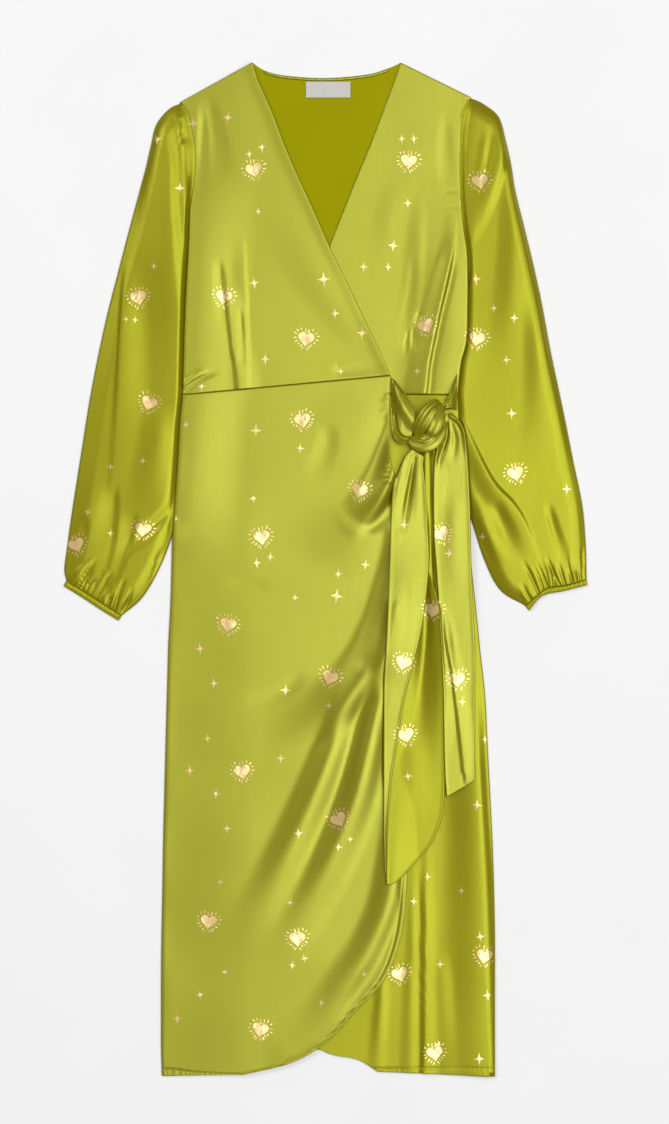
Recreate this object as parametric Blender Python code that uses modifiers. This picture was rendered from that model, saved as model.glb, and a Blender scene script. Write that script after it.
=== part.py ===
"""A long-sleeved satin wrap dress, laid flat on its back with the neck towards +Y.

Every panel is an open sheet ruled between its two edges, row by row, and thickened upwards.
The wearer's right side lies at -X. The back lies on z = 0, the under wrap lies on it, the
over wrap on that, and the knotted tie on top. All lengths below are in millimetres.
"""

import math

import bmesh
import bpy
import numpy as np

MM = 0.001
WALL = 1.2  # thickness of one layer of cloth
LAYER_GAP = 0.6  # air between two layers that lie on each other
SEAM_GAP = 0.4  # between two pieces that are sewn edge to edge

BACK_LEVEL = 0.0
UNDER_LEVEL = BACK_LEVEL + WALL + LAYER_GAP
OVER_LEVEL = UNDER_LEVEL + WALL + LAYER_GAP
TIE_LEVEL = OVER_LEVEL + WALL + 3 * LAYER_GAP
TAIL_LEVEL = TIE_LEVEL + WALL + 2 * LAYER_GAP

# The over wrap comes down to the under wrap's level where the under wrap ends below it.
STEP_START, STEP_END = -150.0, -106.0

# The sides of the body lie on the sleeves: lifted this far, over this width from the edge.
SIDE_LIFT = 3.8
LIFT_FLAT, LIFT_END = 14.0, 36.0
LIFT_SLACK = 6.0  # the fronts' lift reaches further in, so that they stay clear of the back
# y at which a side's lift starts, is full, is full up to, and ends.
RIGHT_LIFT = (8.0, 50.0, 390.0, 421.0)
LEFT_LIFT = (8.0, 50.0, 350.0, 377.0)

# x over which the skirt's folds sink to nothing below the tie's tails.
TIE_CLEAR_START, TIE_CLEAR_END = 55.0, 97.0
# x over which the under wrap's own folds rise, outside the over wrap.
UNDER_BODICE_SEEN = (60.0, 100.0)
UNDER_SKIRT_SEEN = (98.0, 118.0)
PUSHED_SHARE = 0.12  # how much of the over skirt's folds the under skirt follows

SLEEVE_EDGE, SLEEVE_CREST = 3.0, 5.6  # height of a flattened sleeve at its folds and between
TUCK_WIDTH = 20.0  # the flat strip of a sleeve that goes below the body
SLEEVE_COLUMNS = 10
SEAM_ROWS = 6  # rows over which a sleeve bends into its armhole and its cuff
SEAM_SHARE = 0.12  # share of a sleeve's length over which its top comes down to a seam
BETWEEN_FOLDS = 0.6  # how far a sleeve's top sinks between its folds
FACING_WIDTH = 3.5
LABEL_WIDTH, LABEL_HEIGHT, LABEL_THICK = 53.0, 19.0, 1.0
LABEL_CENTRE_X = 3.0

# (x, y) of each row's ends, from the shoulder tip down to the waist.
RIGHT_SIDE = (
    (-172, 551), (-163, 538), (-159, 520), (-155, 497), (-154.5, 470), (-157, 445), (-160, 421),
    (-161, 390), (-163, 355), (-165, 318), (-166.5, 280), (-167.5, 243), (-168.5, 206),
)
LEFT_SIDE = (
    (172, 557), (165, 543), (161, 524), (159.5, 499), (159, 470), (160, 438), (163, 405),
    (167, 377), (168, 350), (168, 315), (166.5, 270), (160, 243), (156, 206),
)
OVER_NECK_EDGE = (
    (-86, 598), (-80, 578), (-72, 560), (-62, 537), (-48, 500), (-33, 465), (-16, 428),
    (2, 387), (17, 356), (32, 325), (47, 293), (62, 262), (76.5, 229),
)
UNDER_NECK_EDGE = (
    (89, 598), (82, 579), (76, 562), (65, 533), (53, 501), (40, 470), (26, 435),
    (12, 400), (-3, 362), (-20, 325), (-37, 287), (-55, 248), (-72, 209),
)
BACK_NECK = ((-86, 598), (-72, 589), (-48, 583), (0, 580), (48, 584), (73, 591), (89, 598))

# (x, y) of each row's ends, from the waist down to the hem.
RIGHT_SKIRT_SIDE = (
    (-168.5, 205), (-172, 170), (-174, 130), (-177, 90), (-180, 50), (-181.5, 8), (-183, -40),
    (-185.5, -90), (-187, -145), (-188.5, -200), (-190, -260), (-191.5, -320), (-192.5, -380),
    (-193.5, -435), (-194, -485), (-194, -530), (-194, -560), (-193.5, -582), (-193, -597),
)
LEFT_SKIRT_SIDE = (
    (156, 205), (158, 170), (162, 130), (165, 90), (169, 50), (172, 8), (177, -40),
    (182, -90), (188, -145), (191, -200), (194, -260), (197, -320), (199, -380),
    (200, -435), (200, -485), (200, -530), (200, -560), (200, -580), (200, -597.6),
)
OVER_SKIRT_EDGE = (
    (76.5, 228), (75, 175), (77, 130), (88, 90), (94, 50), (95, 8), (96, -40),
    (96, -90), (96, -145), (97, -200), (97, -260), (97, -320), (96, -372),
    (89, -432), (70, -482), (34, -522), (1, -557), (-40, -581), (-96, -595),
)
UNDER_SKIRT_EDGE = (
    (-72, 208), (-74, 170), (-76, 130), (-84, 90), (-90, 50), (-92, 8), (-93, -40),
    (-93, -90), (-93, -145), (-93, -200), (-93, -260), (-93, -320), (-92, -380),
    (-86, -435), (-70, -490), (-40, -540), (0, -569), (37, -577.5), (62, -592),
)
NECK_ROWS = 6  # rows of the back bodice over which the neck's curve straightens
BACK_HEM_RISE = 28.0  # the back hem's rise at the middle, which keeps it behind the fronts
BACK_HEM_TUCK = 3.0

# (x, y) of a sleeve's outer and inner folds, from the armhole seam down to the cuff.
RIGHT_SLEEVE_OUTER = (
    (-172, 551), (-187, 541), (-200, 524), (-206, 500), (-212, 474), (-217, 455), (-231, 403),
    (-244, 353), (-260, 290), (-276, 212), (-289, 132), (-299, 68), (-305, 25), (-308, 0),
    (-305.5, -13),
)
RIGHT_SLEEVE_INNER = (
    (-160, 421), (-161.3, 412), (-162, 402), (-162, 390), (-159, 377), (-154, 355), (-152, 312),
    (-156, 255), (-160, 200), (-165, 140), (-172, 88), (-181, 40), (-196, 1), (-216, -33),
    (-240, -54),
)
RIGHT_SLEEVE_END = ((-305.5, -13), (-284, -26), (-262, -40), (-240, -54))
RIGHT_CUFF_EDGE = ((-309, -19), (-288, -32), (-266, -46.5), (-244, -60))
LEFT_SLEEVE_OUTER = (
    (172, 557), (190, 547), (205, 533), (213, 505), (219, 478), (223, 452), (228, 430),
    (241, 378), (254, 320), (266, 256), (280, 190), (293, 125), (303, 76), (307, 30), (308, -11),
)
LEFT_SLEEVE_INNER = (
    (167, 377), (168.5, 370), (169.8, 361), (170, 349), (168, 334), (162, 312), (157, 287),
    (152, 240), (148, 185), (150, 135), (157, 92), (171, 61), (187, 12), (207, -26), (241, -42),
)
LEFT_SLEEVE_END = ((308, -11), (284, -18), (260, -22.5), (241, -42))
LEFT_CUFF_EDGE = ((309, -18), (282, -25), (255, -31), (237, -49))

# (x, y) of each row's ends across the tie, going away from the knot.
FRONT_TAIL_LEFT = (
    (101.5, 142), (93, 132), (86, 117), (79, 95), (76.5, 60), (75.5, 20), (73.5, -30),
    (71, -83), (68.5, -130), (68, -190), (68, -250), (68.5, -310), (70, -360),
)
FRONT_TAIL_RIGHT = (
    (116, 132.5), (115, 122), (116.5, 108), (118.5, 85), (120.5, 50), (122, 12), (118, -35),
    (110, -83), (94, -148), (86, -195), (78, -247), (74, -303), (72.8, -350),
)
TAIL_TURN_LEFT = (
    (92, 30), (85, -5), (78, -45), (74, -95), (71, -142), (70, -200), (70, -250),
    (70, -290), (70.5, -320), (71, -345), (71, -362), (71, -370),
)
TAIL_TURN_RIGHT = (
    (108, 28), (124, -8), (134, -45), (138, -95), (140.5, -142), (141, -200), (141, -250),
    (137.5, -290), (125, -322), (105, -346), (88, -364), (77, -371),
)
SIDE_TAIL_LEFT = (
    (141, 181), (138, 171), (135.5, 159), (131, 146), (127.5, 125), (126.5, 82), (127.5, 35),
    (130, 0), (133, -45), (136, -95), (138, -142), (139, -201), (140, -240), (142, -268),
)
SIDE_TAIL_RIGHT = (
    (148, 184.5), (156, 177), (163, 164), (166, 143), (168, 118), (170, 80), (171, 38),
    (172, 0), (174, -45), (176, -95), (176, -142), (176, -201), (176, -232), (176, -248),
)
FRONT_FAN_TOP = ((77.2, 227), (84, 220), (92, 209), (100, 197), (107, 187.5))
FRONT_FAN_LOW = ((77, 168), (80, 154), (87, 148), (94, 148.5), (100, 153))
SIDE_FAN_TOP = ((155, 231), (150, 219), (145, 207), (140.3, 197.5))
SIDE_FAN_LOW = ((154.5, 187.5), (150, 189), (145.5, 188.5), (140.8, 187.5))

FAN_PLEATS, PLEAT_HEIGHT = 3, 1.6
SIDE_FAN_LEVEL = UNDER_LEVEL + WALL + SIDE_LIFT + 2 * LAYER_GAP + 0.4
KNOT_ENTRY = 12.5  # height at which the ties go into the knot
TAIL_COLUMNS = 3
TAIL_CLIMB, CLIMB_SHARE = 4.0, 0.2  # rise of a tail to the knot, over this share of its length

# y, left x, right x, lowest and highest z of the knot's sections.
KNOT_ROWS = (
    (197.5, 118, 131, 11, 15),
    (193, 111.5, 137, 8, 20),
    (184, 109.5, 139, 6, 24),
    (172, 107, 136, 5.5, 25),
    (160, 103.5, 132.5, 5.5, 24),
    (148, 103, 127.5, 6, 21),
    (139, 110, 122.5, 8, 17),
    (135, 113, 119, 10, 14),
)
KNOT_SIDES = 12

FOLD_STEPS = 41  # points along a fold's route
FOLD_RISE, FOLD_FALL = 0.15, 0.4  # shares of its length over which a fold rises and dies out
# Height, half width, share of the height that its far end keeps, and route of each large fold.
SKIRT_FOLDS = (
    (5.0, 20, 0.0, ((84, 118), (48, 86), (8, 60), (-42, 54))),
    (4.0, 19, 0.0, ((80, 184), (48, 142), (12, 104), (-34, 78))),
    (6.5, 30, 0.0, ((86, 40), (44, -10), (0, -58), (-66, -100))),
    (7.0, 34, 0.0, ((72, -76), (36, -165), (0, -255), (-38, -338), (-80, -410))),
    (6.0, 30, 0.2, ((78, -225), (54, -320), (30, -400), (0, -480), (-50, -545))),
    (3.0, 40, 0.3, ((-60, 190), (-80, 60), (-96, -120), (-110, -330))),
)
UNDER_SKIRT_FOLDS = (
    (4.0, 22, 0.6, ((122, -300), (124, -400), (120, -500), (118, -590))),
    (3.5, 24, 0.5, ((165, -120), (172, -260), (168, -420), (160, -580))),
)
OVER_BODICE_FOLDS = (
    (3.5, 20, 0.0, ((-104, 212), (-108, 250), (-114, 292), (-116, 330))),
    (3.0, 18, 0.0, ((-84, 214), (-90, 260), (-92, 310), (-90, 345))),
    (4.0, 34, 0.0, ((66, 244), (20, 282), (-30, 330), (-60, 400))),
    (3.0, 36, 0.0, ((-120, 500), (-112, 450), (-100, 400), (-80, 340))),
)
UNDER_BODICE_FOLDS = (
    (4.5, 18, 0.3, ((152, 410), (146, 360), (134, 300), (122, 240), (116, 212))),
    (3.0, 18, 0.0, ((98, 214), (96, 260), (100, 310), (108, 370))),
    (3.0, 22, 0.0, ((110, 520), (100, 470), (88, 410), (84, 350))),
)
RIGHT_SLEEVE_FOLDS = (
    (1.0, 16, 0.3, ((-176, 500), (-186, 430), (-196, 350), (-206, 260))),
    (0.8, 15, 0.3, ((-214, 430), (-230, 350), (-246, 250), (-262, 160))),
    (1.0, 14, 0.8, ((-220, 200), (-236, 100), (-250, 20), (-262, -30))),
    (0.9, 12, 0.8, ((-272, 130), (-284, 60), (-290, 0), (-292, -25))),
)
LEFT_SLEEVE_FOLDS = (
    (1.0, 16, 0.3, ((196, 500), (204, 430), (212, 350), (214, 270))),
    (0.8, 15, 0.3, ((180, 330), (200, 260), (226, 180), (250, 110))),
    (1.0, 14, 0.8, ((260, 220), (272, 140), (280, 60), (284, -10))),
    (0.9, 12, 0.8, ((190, 120), (216, 60), (244, 10), (262, -24))),
)

SATIN = (0.47, 0.50, 0.045, 1.0)
SATIN_INSIDE = (0.34, 0.33, 0.02, 1.0)
ELASTIC_SATIN = (0.16, 0.13, 0.008, 1.0)
LABEL_WHITE = (0.60, 0.57, 0.54, 1.0)


def clear_scene():
    for obj in list(bpy.data.objects):
        bpy.data.objects.remove(obj)


def finish(name, colour, roughness):
    """A satin-like material."""
    material = bpy.data.materials.new(name)
    material.use_nodes = True
    shader = material.node_tree.nodes["Principled BSDF"]
    shader.inputs["Base Color"].default_value = colour
    shader.inputs["Roughness"].default_value = roughness
    shader.inputs["Metallic"].default_value = 0.0
    return material


def smooth_step(share):
    share = np.clip(share, 0.0, 1.0)
    return share * share * (3.0 - 2.0 * share)


def along(points, stations):
    """Points on a smooth curve through the given ones, at stations counted in points."""
    points = np.asarray(points, float)
    slopes = np.gradient(points, axis=0)
    stations = np.clip(np.asarray(stations, float), 0, len(points) - 1)
    first = np.minimum(stations.astype(int), len(points) - 2)
    t = (stations - first)[:, None]
    a, b = points[first], points[first + 1]
    ma, mb = slopes[first], slopes[first + 1]
    return (
        (2 * t**3 - 3 * t**2 + 1) * a
        + (t**3 - 2 * t**2 + t) * ma
        + (3 * t**2 - 2 * t**3) * b
        + (t**3 - t**2) * mb
    )


def ruled(left, right, columns, per_row=1):
    """A grid of (x, y) points, ruled between two edges that have the same number of rows."""
    stations = np.linspace(0, len(left) - 1, (len(left) - 1) * per_row + 1)
    left_edge = along(left, stations)
    right_edge = along(right, stations)
    rows = []
    for start, end in zip(left_edge, right_edge):
        share = np.asarray(columns(np.linalg.norm(end - start)))[:, None]
        rows.append(start * (1 - share) + end * share)
    return np.array(rows)


def even(count):
    """Columns spaced evenly across a row."""
    return lambda length: np.linspace(0, 1, count + 1)


def side_columns(count, right=True, left=True):
    """Columns that follow the lift at the body's sides, then run evenly between."""

    def shares(length):
        near = [0.0, LIFT_FLAT / length] if right else []
        far = [1.0 - LIFT_FLAT / length, 1.0] if left else []
        start = LIFT_END / length if right else 0.0
        end = 1.0 - LIFT_END / length if left else 1.0
        inner = np.linspace(start, end, count - len(near) - len(far) + 1)
        return np.concatenate([near, inner, far])

    return shares


def folds(grid, table):
    """The height that the folds of a table add at each point of the grid."""
    total = np.zeros(grid.shape[:2])
    for height, half_width, end_share, route in table:
        stations = np.linspace(0, len(route) - 1, FOLD_STEPS)
        path = along(route, stations)
        away = np.linalg.norm(grid[:, :, None, :] - path[None, None, :, :], axis=3)
        nearest = away.argmin(axis=2) / (FOLD_STEPS - 1)
        distance = np.minimum(away.min(axis=2) / half_width, 1.0)
        rise = smooth_step(nearest / FOLD_RISE)
        fall = end_share + (1 - end_share) * smooth_step((1 - nearest) / FOLD_FALL)
        total += height * rise * fall * (0.5 + 0.5 * np.cos(math.pi * distance))
    return total


def side_lift(grid, wider=0.0):
    """How far the body's sides are lifted by the sleeves below them."""
    x, y = grid[..., 0], grid[..., 1]
    lift = np.zeros(x.shape)
    for bodice, skirt, heights in (
        (RIGHT_SIDE, RIGHT_SKIRT_SIDE, RIGHT_LIFT),
        (LEFT_SIDE, LEFT_SKIRT_SIDE, LEFT_LIFT),
    ):
        edge = np.array(bodice[:-1] + skirt)[::-1]
        inward = np.abs(x - np.interp(y, edge[:, 1], edge[:, 0]))
        across = np.interp(inward, (LIFT_FLAT, LIFT_END + wider), (1, 0))
        start, full, full_to, end = heights
        reach = (start - wider, full - wider, full_to, end)
        lift += SIDE_LIFT * across * np.interp(y, reach, (0, 1, 1, 0))
    return lift


def edge_fade(grid, first=0.0, last=0.0):
    """1 inside the sheet, falling to 0 over a width in mm at its first and last columns."""
    fade = np.ones(grid.shape[:2])
    if first:
        fade *= smooth_step(np.linalg.norm(grid - grid[:, :1], axis=2) / first)
    if last:
        fade *= smooth_step(np.linalg.norm(grid - grid[:, -1:], axis=2) / last)
    return fade


def clear_of_tie(grid):
    """1 over most of the over wrap, falling to 0 where the tie's tails lie on it."""
    return smooth_step((TIE_CLEAR_END - grid[..., 0]) / (TIE_CLEAR_END - TIE_CLEAR_START))


def over_step(grid):
    """The over wrap's underside, above the back alone and then above the under wrap."""
    share = (grid[..., 0] - STEP_START) / (STEP_END - STEP_START)
    return UNDER_LEVEL + (OVER_LEVEL - UNDER_LEVEL) * smooth_step(share)


def add_mesh(name, vertices, faces, material):
    mesh = bpy.data.meshes.new(name)
    mesh.from_pydata([tuple(v) for v in np.asarray(vertices) * MM], [], faces)
    mesh.validate()
    mesh.materials.append(material)
    mesh.shade_smooth()
    obj = bpy.data.objects.new(name, mesh)
    dress.objects.link(obj)
    return obj


def sheet_faces(rows, columns):
    faces = []
    for r in range(rows - 1):
        for c in range(columns - 1):
            a = r * columns + c
            faces.append((a, a + columns, a + columns + 1, a + 1))
    return faces


def sheet(name, grid, height, material, wall=WALL):
    """An open sheet at its underside's height, thickened upwards."""
    vertices = np.dstack([grid, height]).reshape(-1, 3)
    obj = add_mesh(name, vertices, sheet_faces(*grid.shape[:2]), material)
    bm = bmesh.new()
    bm.from_mesh(obj.data)
    bmesh.ops.recalc_face_normals(bm, faces=bm.faces)
    if sum(face.normal.z for face in bm.faces) < 0:
        bmesh.ops.reverse_faces(bm, faces=bm.faces)
    bm.to_mesh(obj.data)
    bm.free()
    solidify = obj.modifiers.new("wall", "SOLIDIFY")
    solidify.thickness = wall * MM
    solidify.offset = 1.0
    return obj


def flat_tube(name, grid, top, material, wall=WALL):
    """A tube pressed flat: a floor layer and a top layer, joined by a fold at each side."""
    inside = grid.copy()
    for edge, other in ((0, 1), (-1, -2)):
        run = np.gradient(grid[:, edge], axis=0)
        inward = np.column_stack([-run[:, 1], run[:, 0]]) / np.linalg.norm(run, axis=1)[:, None]
        inward *= np.sign(np.sum(inward * (grid[:, other] - grid[:, edge])))
        inside[:, edge] = grid[:, edge] + inward * wall
    rings = []
    for plan, low, high in ((grid, 0 * top, top), (inside, 0 * top + wall, top - wall)):
        upper = np.dstack([plan, high])
        lower = np.dstack([plan, low])[:, ::-1]
        rings.append(np.concatenate([upper, lower], axis=1))
    rows, around = rings[0].shape[:2]
    vertices = np.concatenate([rings[0].reshape(-1, 3), rings[1].reshape(-1, 3)])
    inner = rows * around
    faces = []
    for c in range(around):
        d = (c + 1) % around
        for r in range(rows - 1):
            a, b = r * around, (r + 1) * around
            faces.append((a + c, a + d, b + d, b + c))
            faces.append((inner + a + c, inner + b + c, inner + b + d, inner + a + d))
        last = (rows - 1) * around
        faces.append((c, inner + c, inner + d, d))
        faces.append((last + c, last + d, inner + last + d, inner + last + c))
    obj = add_mesh(name, vertices, faces, material)
    bm = bmesh.new()
    bm.from_mesh(obj.data)
    bmesh.ops.recalc_face_normals(bm, faces=bm.faces)
    bm.to_mesh(obj.data)
    bm.free()
    return obj


def moved_in(edge, distance):
    """The same edge, moved down by the gap that a seam keeps."""
    return tuple((x, y - distance) for x, y in edge)


def back_bodice(satin):
    grid = ruled(RIGHT_SIDE, LEFT_SIDE, side_columns(16))
    neck = along(BACK_NECK, np.linspace(0, len(BACK_NECK) - 1, 9))
    shoulders = (
        along((RIGHT_SIDE[0], BACK_NECK[0]), np.linspace(0, 1, 5))[:-1],
        neck,
        along((BACK_NECK[-1], LEFT_SIDE[0]), np.linspace(0, 1, 5))[1:],
    )
    top = np.concatenate(shoulders)
    shift = top - grid[0]
    for row in range(NECK_ROWS):
        grid[row] += shift * (1 - row / NECK_ROWS) ** 1.5
    sheet("back_bodice", grid, BACK_LEVEL + side_lift(grid), satin)
    return neck


def back_skirt(satin):
    grid = ruled(RIGHT_SKIRT_SIDE, LEFT_SKIRT_SIDE, side_columns(8))
    across = np.linspace(0, 1, grid.shape[1])
    down = np.linspace(0, 1, grid.shape[0])[:, None]
    hem = BACK_HEM_TUCK + BACK_HEM_RISE * 4 * across * (1 - across)
    grid[..., 1] += hem * smooth_step((down - 0.75) / 0.25)
    grid[..., 1] -= SEAM_GAP * smooth_step((0.1 - down) / 0.1)
    sheet("back_skirt", grid, BACK_LEVEL + side_lift(grid), satin)


def under_front(satin):
    grid = ruled(UNDER_NECK_EDGE, LEFT_SIDE, side_columns(11, right=False))
    relief = folds(grid, UNDER_BODICE_FOLDS) * edge_fade(grid, first=20, last=16)
    seen = smooth_step((grid[..., 0] - UNDER_BODICE_SEEN[0]) / np.ptp(UNDER_BODICE_SEEN))
    height = UNDER_LEVEL + side_lift(grid, LIFT_SLACK) + relief * seen
    sheet("under_front_bodice", grid, height, satin)

    grid = ruled(UNDER_SKIRT_EDGE, moved_in(LEFT_SKIRT_SIDE, SEAM_GAP), side_columns(10, right=False))
    own = folds(grid, UNDER_SKIRT_FOLDS) * edge_fade(grid, last=16)
    own *= smooth_step((grid[..., 0] - UNDER_SKIRT_SEEN[0]) / np.ptp(UNDER_SKIRT_SEEN))
    pushed = PUSHED_SHARE * folds(grid, SKIRT_FOLDS) * clear_of_tie(grid) * edge_fade(grid, first=20)
    height = UNDER_LEVEL + side_lift(grid, LIFT_SLACK) + own + pushed
    sheet("under_front_skirt", grid, height, satin)


def over_front(satin):
    grid = ruled(RIGHT_SIDE, OVER_NECK_EDGE, side_columns(13, left=False))
    relief = folds(grid, OVER_BODICE_FOLDS) * edge_fade(grid, first=16, last=20)
    height = over_step(grid) + side_lift(grid, LIFT_SLACK) + relief
    sheet("over_front_bodice", grid, height, satin)

    low_edge = moved_in(RIGHT_SKIRT_SIDE, SEAM_GAP)
    grid = ruled(low_edge, moved_in(OVER_SKIRT_EDGE, SEAM_GAP), side_columns(12, left=False), 2)
    relief = folds(grid, SKIRT_FOLDS) * clear_of_tie(grid) * edge_fade(grid, first=16, last=12)
    height = over_step(grid) + side_lift(grid, LIFT_SLACK) + relief
    sheet("over_front_skirt", grid, height, satin)


def sleeve_columns(width):
    """Even columns, and a last one that is as wide as the strip tucked below the body."""
    return np.append(np.linspace(0, 1 - TUCK_WIDTH / width, SLEEVE_COLUMNS - 1), 1)


def sleeve(name, edges, armhole, end, table, satin):
    """A flattened sleeve, from the armhole, a seam gap away from it, down to its end row."""
    grid = ruled(*edges, sleeve_columns)
    side = math.copysign(1.0, end[0][0])
    seam = along(armhole, np.linspace(0, len(armhole) - 1, grid.shape[1]))
    seam[:, 0] += side * 2 * SEAM_GAP
    last = along(end, np.linspace(0, len(end) - 1, grid.shape[1]))
    shift_seam, shift_last = seam - grid[0], last - grid[-1]
    for row in range(SEAM_ROWS):
        fade = (1 - row / SEAM_ROWS) ** 2
        grid[row] += shift_seam * fade
        grid[-1 - row] += shift_last * fade
    across = np.append(np.linspace(0, 1, grid.shape[1] - 1), 1)
    down = np.linspace(0, 1, grid.shape[0])[:, None]
    to_cuff = smooth_step((1 - down) / SEAM_SHARE + 0.35)
    crown = np.sqrt(np.sin(math.pi * across).clip(0)) * to_cuff
    top = SLEEVE_EDGE + (SLEEVE_CREST - SLEEVE_EDGE) * crown
    top += (folds(grid, table) - BETWEEN_FOLDS) * (crown - 0.4).clip(0)
    at_seam = (1 - down / SEAM_SHARE).clip(0)
    top = top * (1 - at_seam) + (UNDER_LEVEL + WALL) * at_seam
    flat_tube(name, grid, top, satin)


def cuff(name, end, edge, elastic):
    """The flattened elastic casing between a sleeve's end row and the cuff's edge."""
    start, last = np.array(end, float), np.array(edge, float)
    away = (last - start) / np.linalg.norm(last - start, axis=1)[:, None]
    start = start + away * SEAM_GAP
    places = np.linspace(0, len(end) - 1, SLEEVE_COLUMNS)
    grid = np.array([along(start * (1 - t) + last * t, places) for t in (0, 0.5, 1)])
    top = np.full(grid.shape[:2], SLEEVE_EDGE + 0.6)
    flat_tube(name, grid, top, elastic, wall=1.0)


def neck_facing(neck, satin):
    """The folded strip on the inside of the back neck, between the two fronts."""
    upper = neck[1:-1] + np.array([0, -0.5])
    upper[0] += (2, -1)
    upper[-1] += (-3, -1)
    lower = upper + np.array([0, -FACING_WIDTH])
    grid = np.stack([upper, lower])
    height = np.full(grid.shape[:2], WALL + SEAM_GAP)
    sheet("neck_facing", grid, height, satin, wall=1.0)
    return lower[:, 1].min()


def label(top_y, white):
    bpy.ops.mesh.primitive_cube_add(size=1)
    obj = bpy.context.object
    obj.name = "label"
    obj.data.name = "label"
    obj.scale = (LABEL_WIDTH * MM, LABEL_HEIGHT * MM, LABEL_THICK * MM)
    height = WALL + SEAM_GAP + LABEL_THICK / 2
    obj.location = (LABEL_CENTRE_X * MM, (top_y - SEAM_GAP - LABEL_HEIGHT / 2) * MM, height * MM)
    bpy.ops.object.transform_apply(location=False, rotation=False, scale=True)
    bpy.context.collection.objects.unlink(obj)
    dress.objects.link(obj)
    obj.data.materials.append(white)


def tie_sheet(name, left, right, level, at_knot, satin):
    """A stretch of the tie that lies on the skirt, and climbs at_knot to meet the knot."""
    grid = ruled(left, right, even(TAIL_COLUMNS), 2)
    down = np.linspace(0, 1, grid.shape[0])[:, None]
    climb = smooth_step(1 - down / CLIMB_SHARE)
    skirt = side_lift(grid, LIFT_SLACK) + folds(grid, SKIRT_FOLDS) * clear_of_tie(grid)
    height = level + at_knot * climb + skirt * (1 - climb)
    sheet(name, grid, height, satin)


def tie_fan(name, top, low, start_level, satin):
    """The gathered stretch of a tie between its seam and the knot."""
    grid = ruled(top, low, even(2 * FAN_PLEATS), 2)
    along_tie = np.linspace(0, 1, grid.shape[0])[:, None]
    across = np.linspace(0, 1, grid.shape[1])[None, :]
    pleats = PLEAT_HEIGHT * np.sin(FAN_PLEATS * math.pi * across) ** 2
    height = start_level + (KNOT_ENTRY - start_level) * smooth_step(along_tie) + pleats
    sheet(name, grid, height, satin)


def knot(satin):
    """A soft closed form, round in section, whose sections follow the knot's own outline."""
    rings = []
    for y, left, right, low, high in KNOT_ROWS:
        turn = np.linspace(0, 2 * math.pi, KNOT_SIDES, endpoint=False)
        x = (left + right) / 2 + (right - left) / 2 * np.cos(turn)
        z = (low + high) / 2 + (high - low) / 2 * np.sin(turn)
        rings.append(np.column_stack([x, np.full(KNOT_SIDES, y), z]))
    vertices = np.concatenate(rings)
    faces = [tuple(range(KNOT_SIDES))]
    for r in range(len(rings) - 1):
        for c in range(KNOT_SIDES):
            d = (c + 1) % KNOT_SIDES
            a, b = r * KNOT_SIDES, (r + 1) * KNOT_SIDES
            faces.append((a + c, b + c, b + d, a + d))
    faces.append(tuple(range(len(vertices) - 1, len(vertices) - 1 - KNOT_SIDES, -1)))
    obj = add_mesh("knot", vertices, faces, satin)
    bm = bmesh.new()
    bm.from_mesh(obj.data)
    bmesh.ops.recalc_face_normals(bm, faces=bm.faces)
    bm.to_mesh(obj.data)
    bm.free()


def build_dress():
    satin = finish("lime satin", SATIN, 0.35)
    inside = finish("lime satin, wrong side", SATIN_INSIDE, 0.6)
    elastic = finish("gathered satin", ELASTIC_SATIN, 0.5)
    white = finish("woven label", LABEL_WHITE, 0.8)

    neck = back_bodice(inside)
    back_skirt(inside)
    under_front(satin)
    over_front(satin)
    label(neck_facing(neck, inside), white)

    right_edges = (RIGHT_SLEEVE_OUTER, RIGHT_SLEEVE_INNER)
    sleeve("right_sleeve", right_edges, RIGHT_SIDE[:7], RIGHT_SLEEVE_END, RIGHT_SLEEVE_FOLDS, satin)
    cuff("right_cuff", RIGHT_SLEEVE_END, RIGHT_CUFF_EDGE, elastic)
    left_edges = (LEFT_SLEEVE_OUTER, LEFT_SLEEVE_INNER)
    sleeve("left_sleeve", left_edges, LEFT_SIDE[:8], LEFT_SLEEVE_END, LEFT_SLEEVE_FOLDS, satin)
    cuff("left_cuff", LEFT_SLEEVE_END, LEFT_CUFF_EDGE, elastic)

    tie_fan("front_tie_fan", FRONT_FAN_TOP, FRONT_FAN_LOW, OVER_LEVEL, satin)
    tie_fan("side_tie_fan", SIDE_FAN_TOP, SIDE_FAN_LOW, SIDE_FAN_LEVEL, satin)
    knot(satin)
    tie_sheet("front_tail_turn", TAIL_TURN_LEFT, TAIL_TURN_RIGHT, TIE_LEVEL, 0.0, satin)
    tie_sheet("front_tail", FRONT_TAIL_LEFT, FRONT_TAIL_RIGHT, TAIL_LEVEL, TAIL_CLIMB, satin)
    tie_sheet("side_tail", SIDE_TAIL_LEFT, SIDE_TAIL_RIGHT, TAIL_LEVEL, TAIL_CLIMB, satin)


clear_scene()
dress = bpy.data.collections.new("wrap dress")
bpy.context.scene.collection.children.link(dress)
build_dress()
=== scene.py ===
"""The looks of a long-sleeved satin wrap dress, laid flat on its back.

Every panel is a thin sheet ruled between its two edges, with points close enough together to
carry its folds, tucks, gathers and rolled edges. Lengths here are millimetres of the dress, and
UNIT turns them into the frame's metres. The wearer's right side lies at -X.
"""

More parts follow.
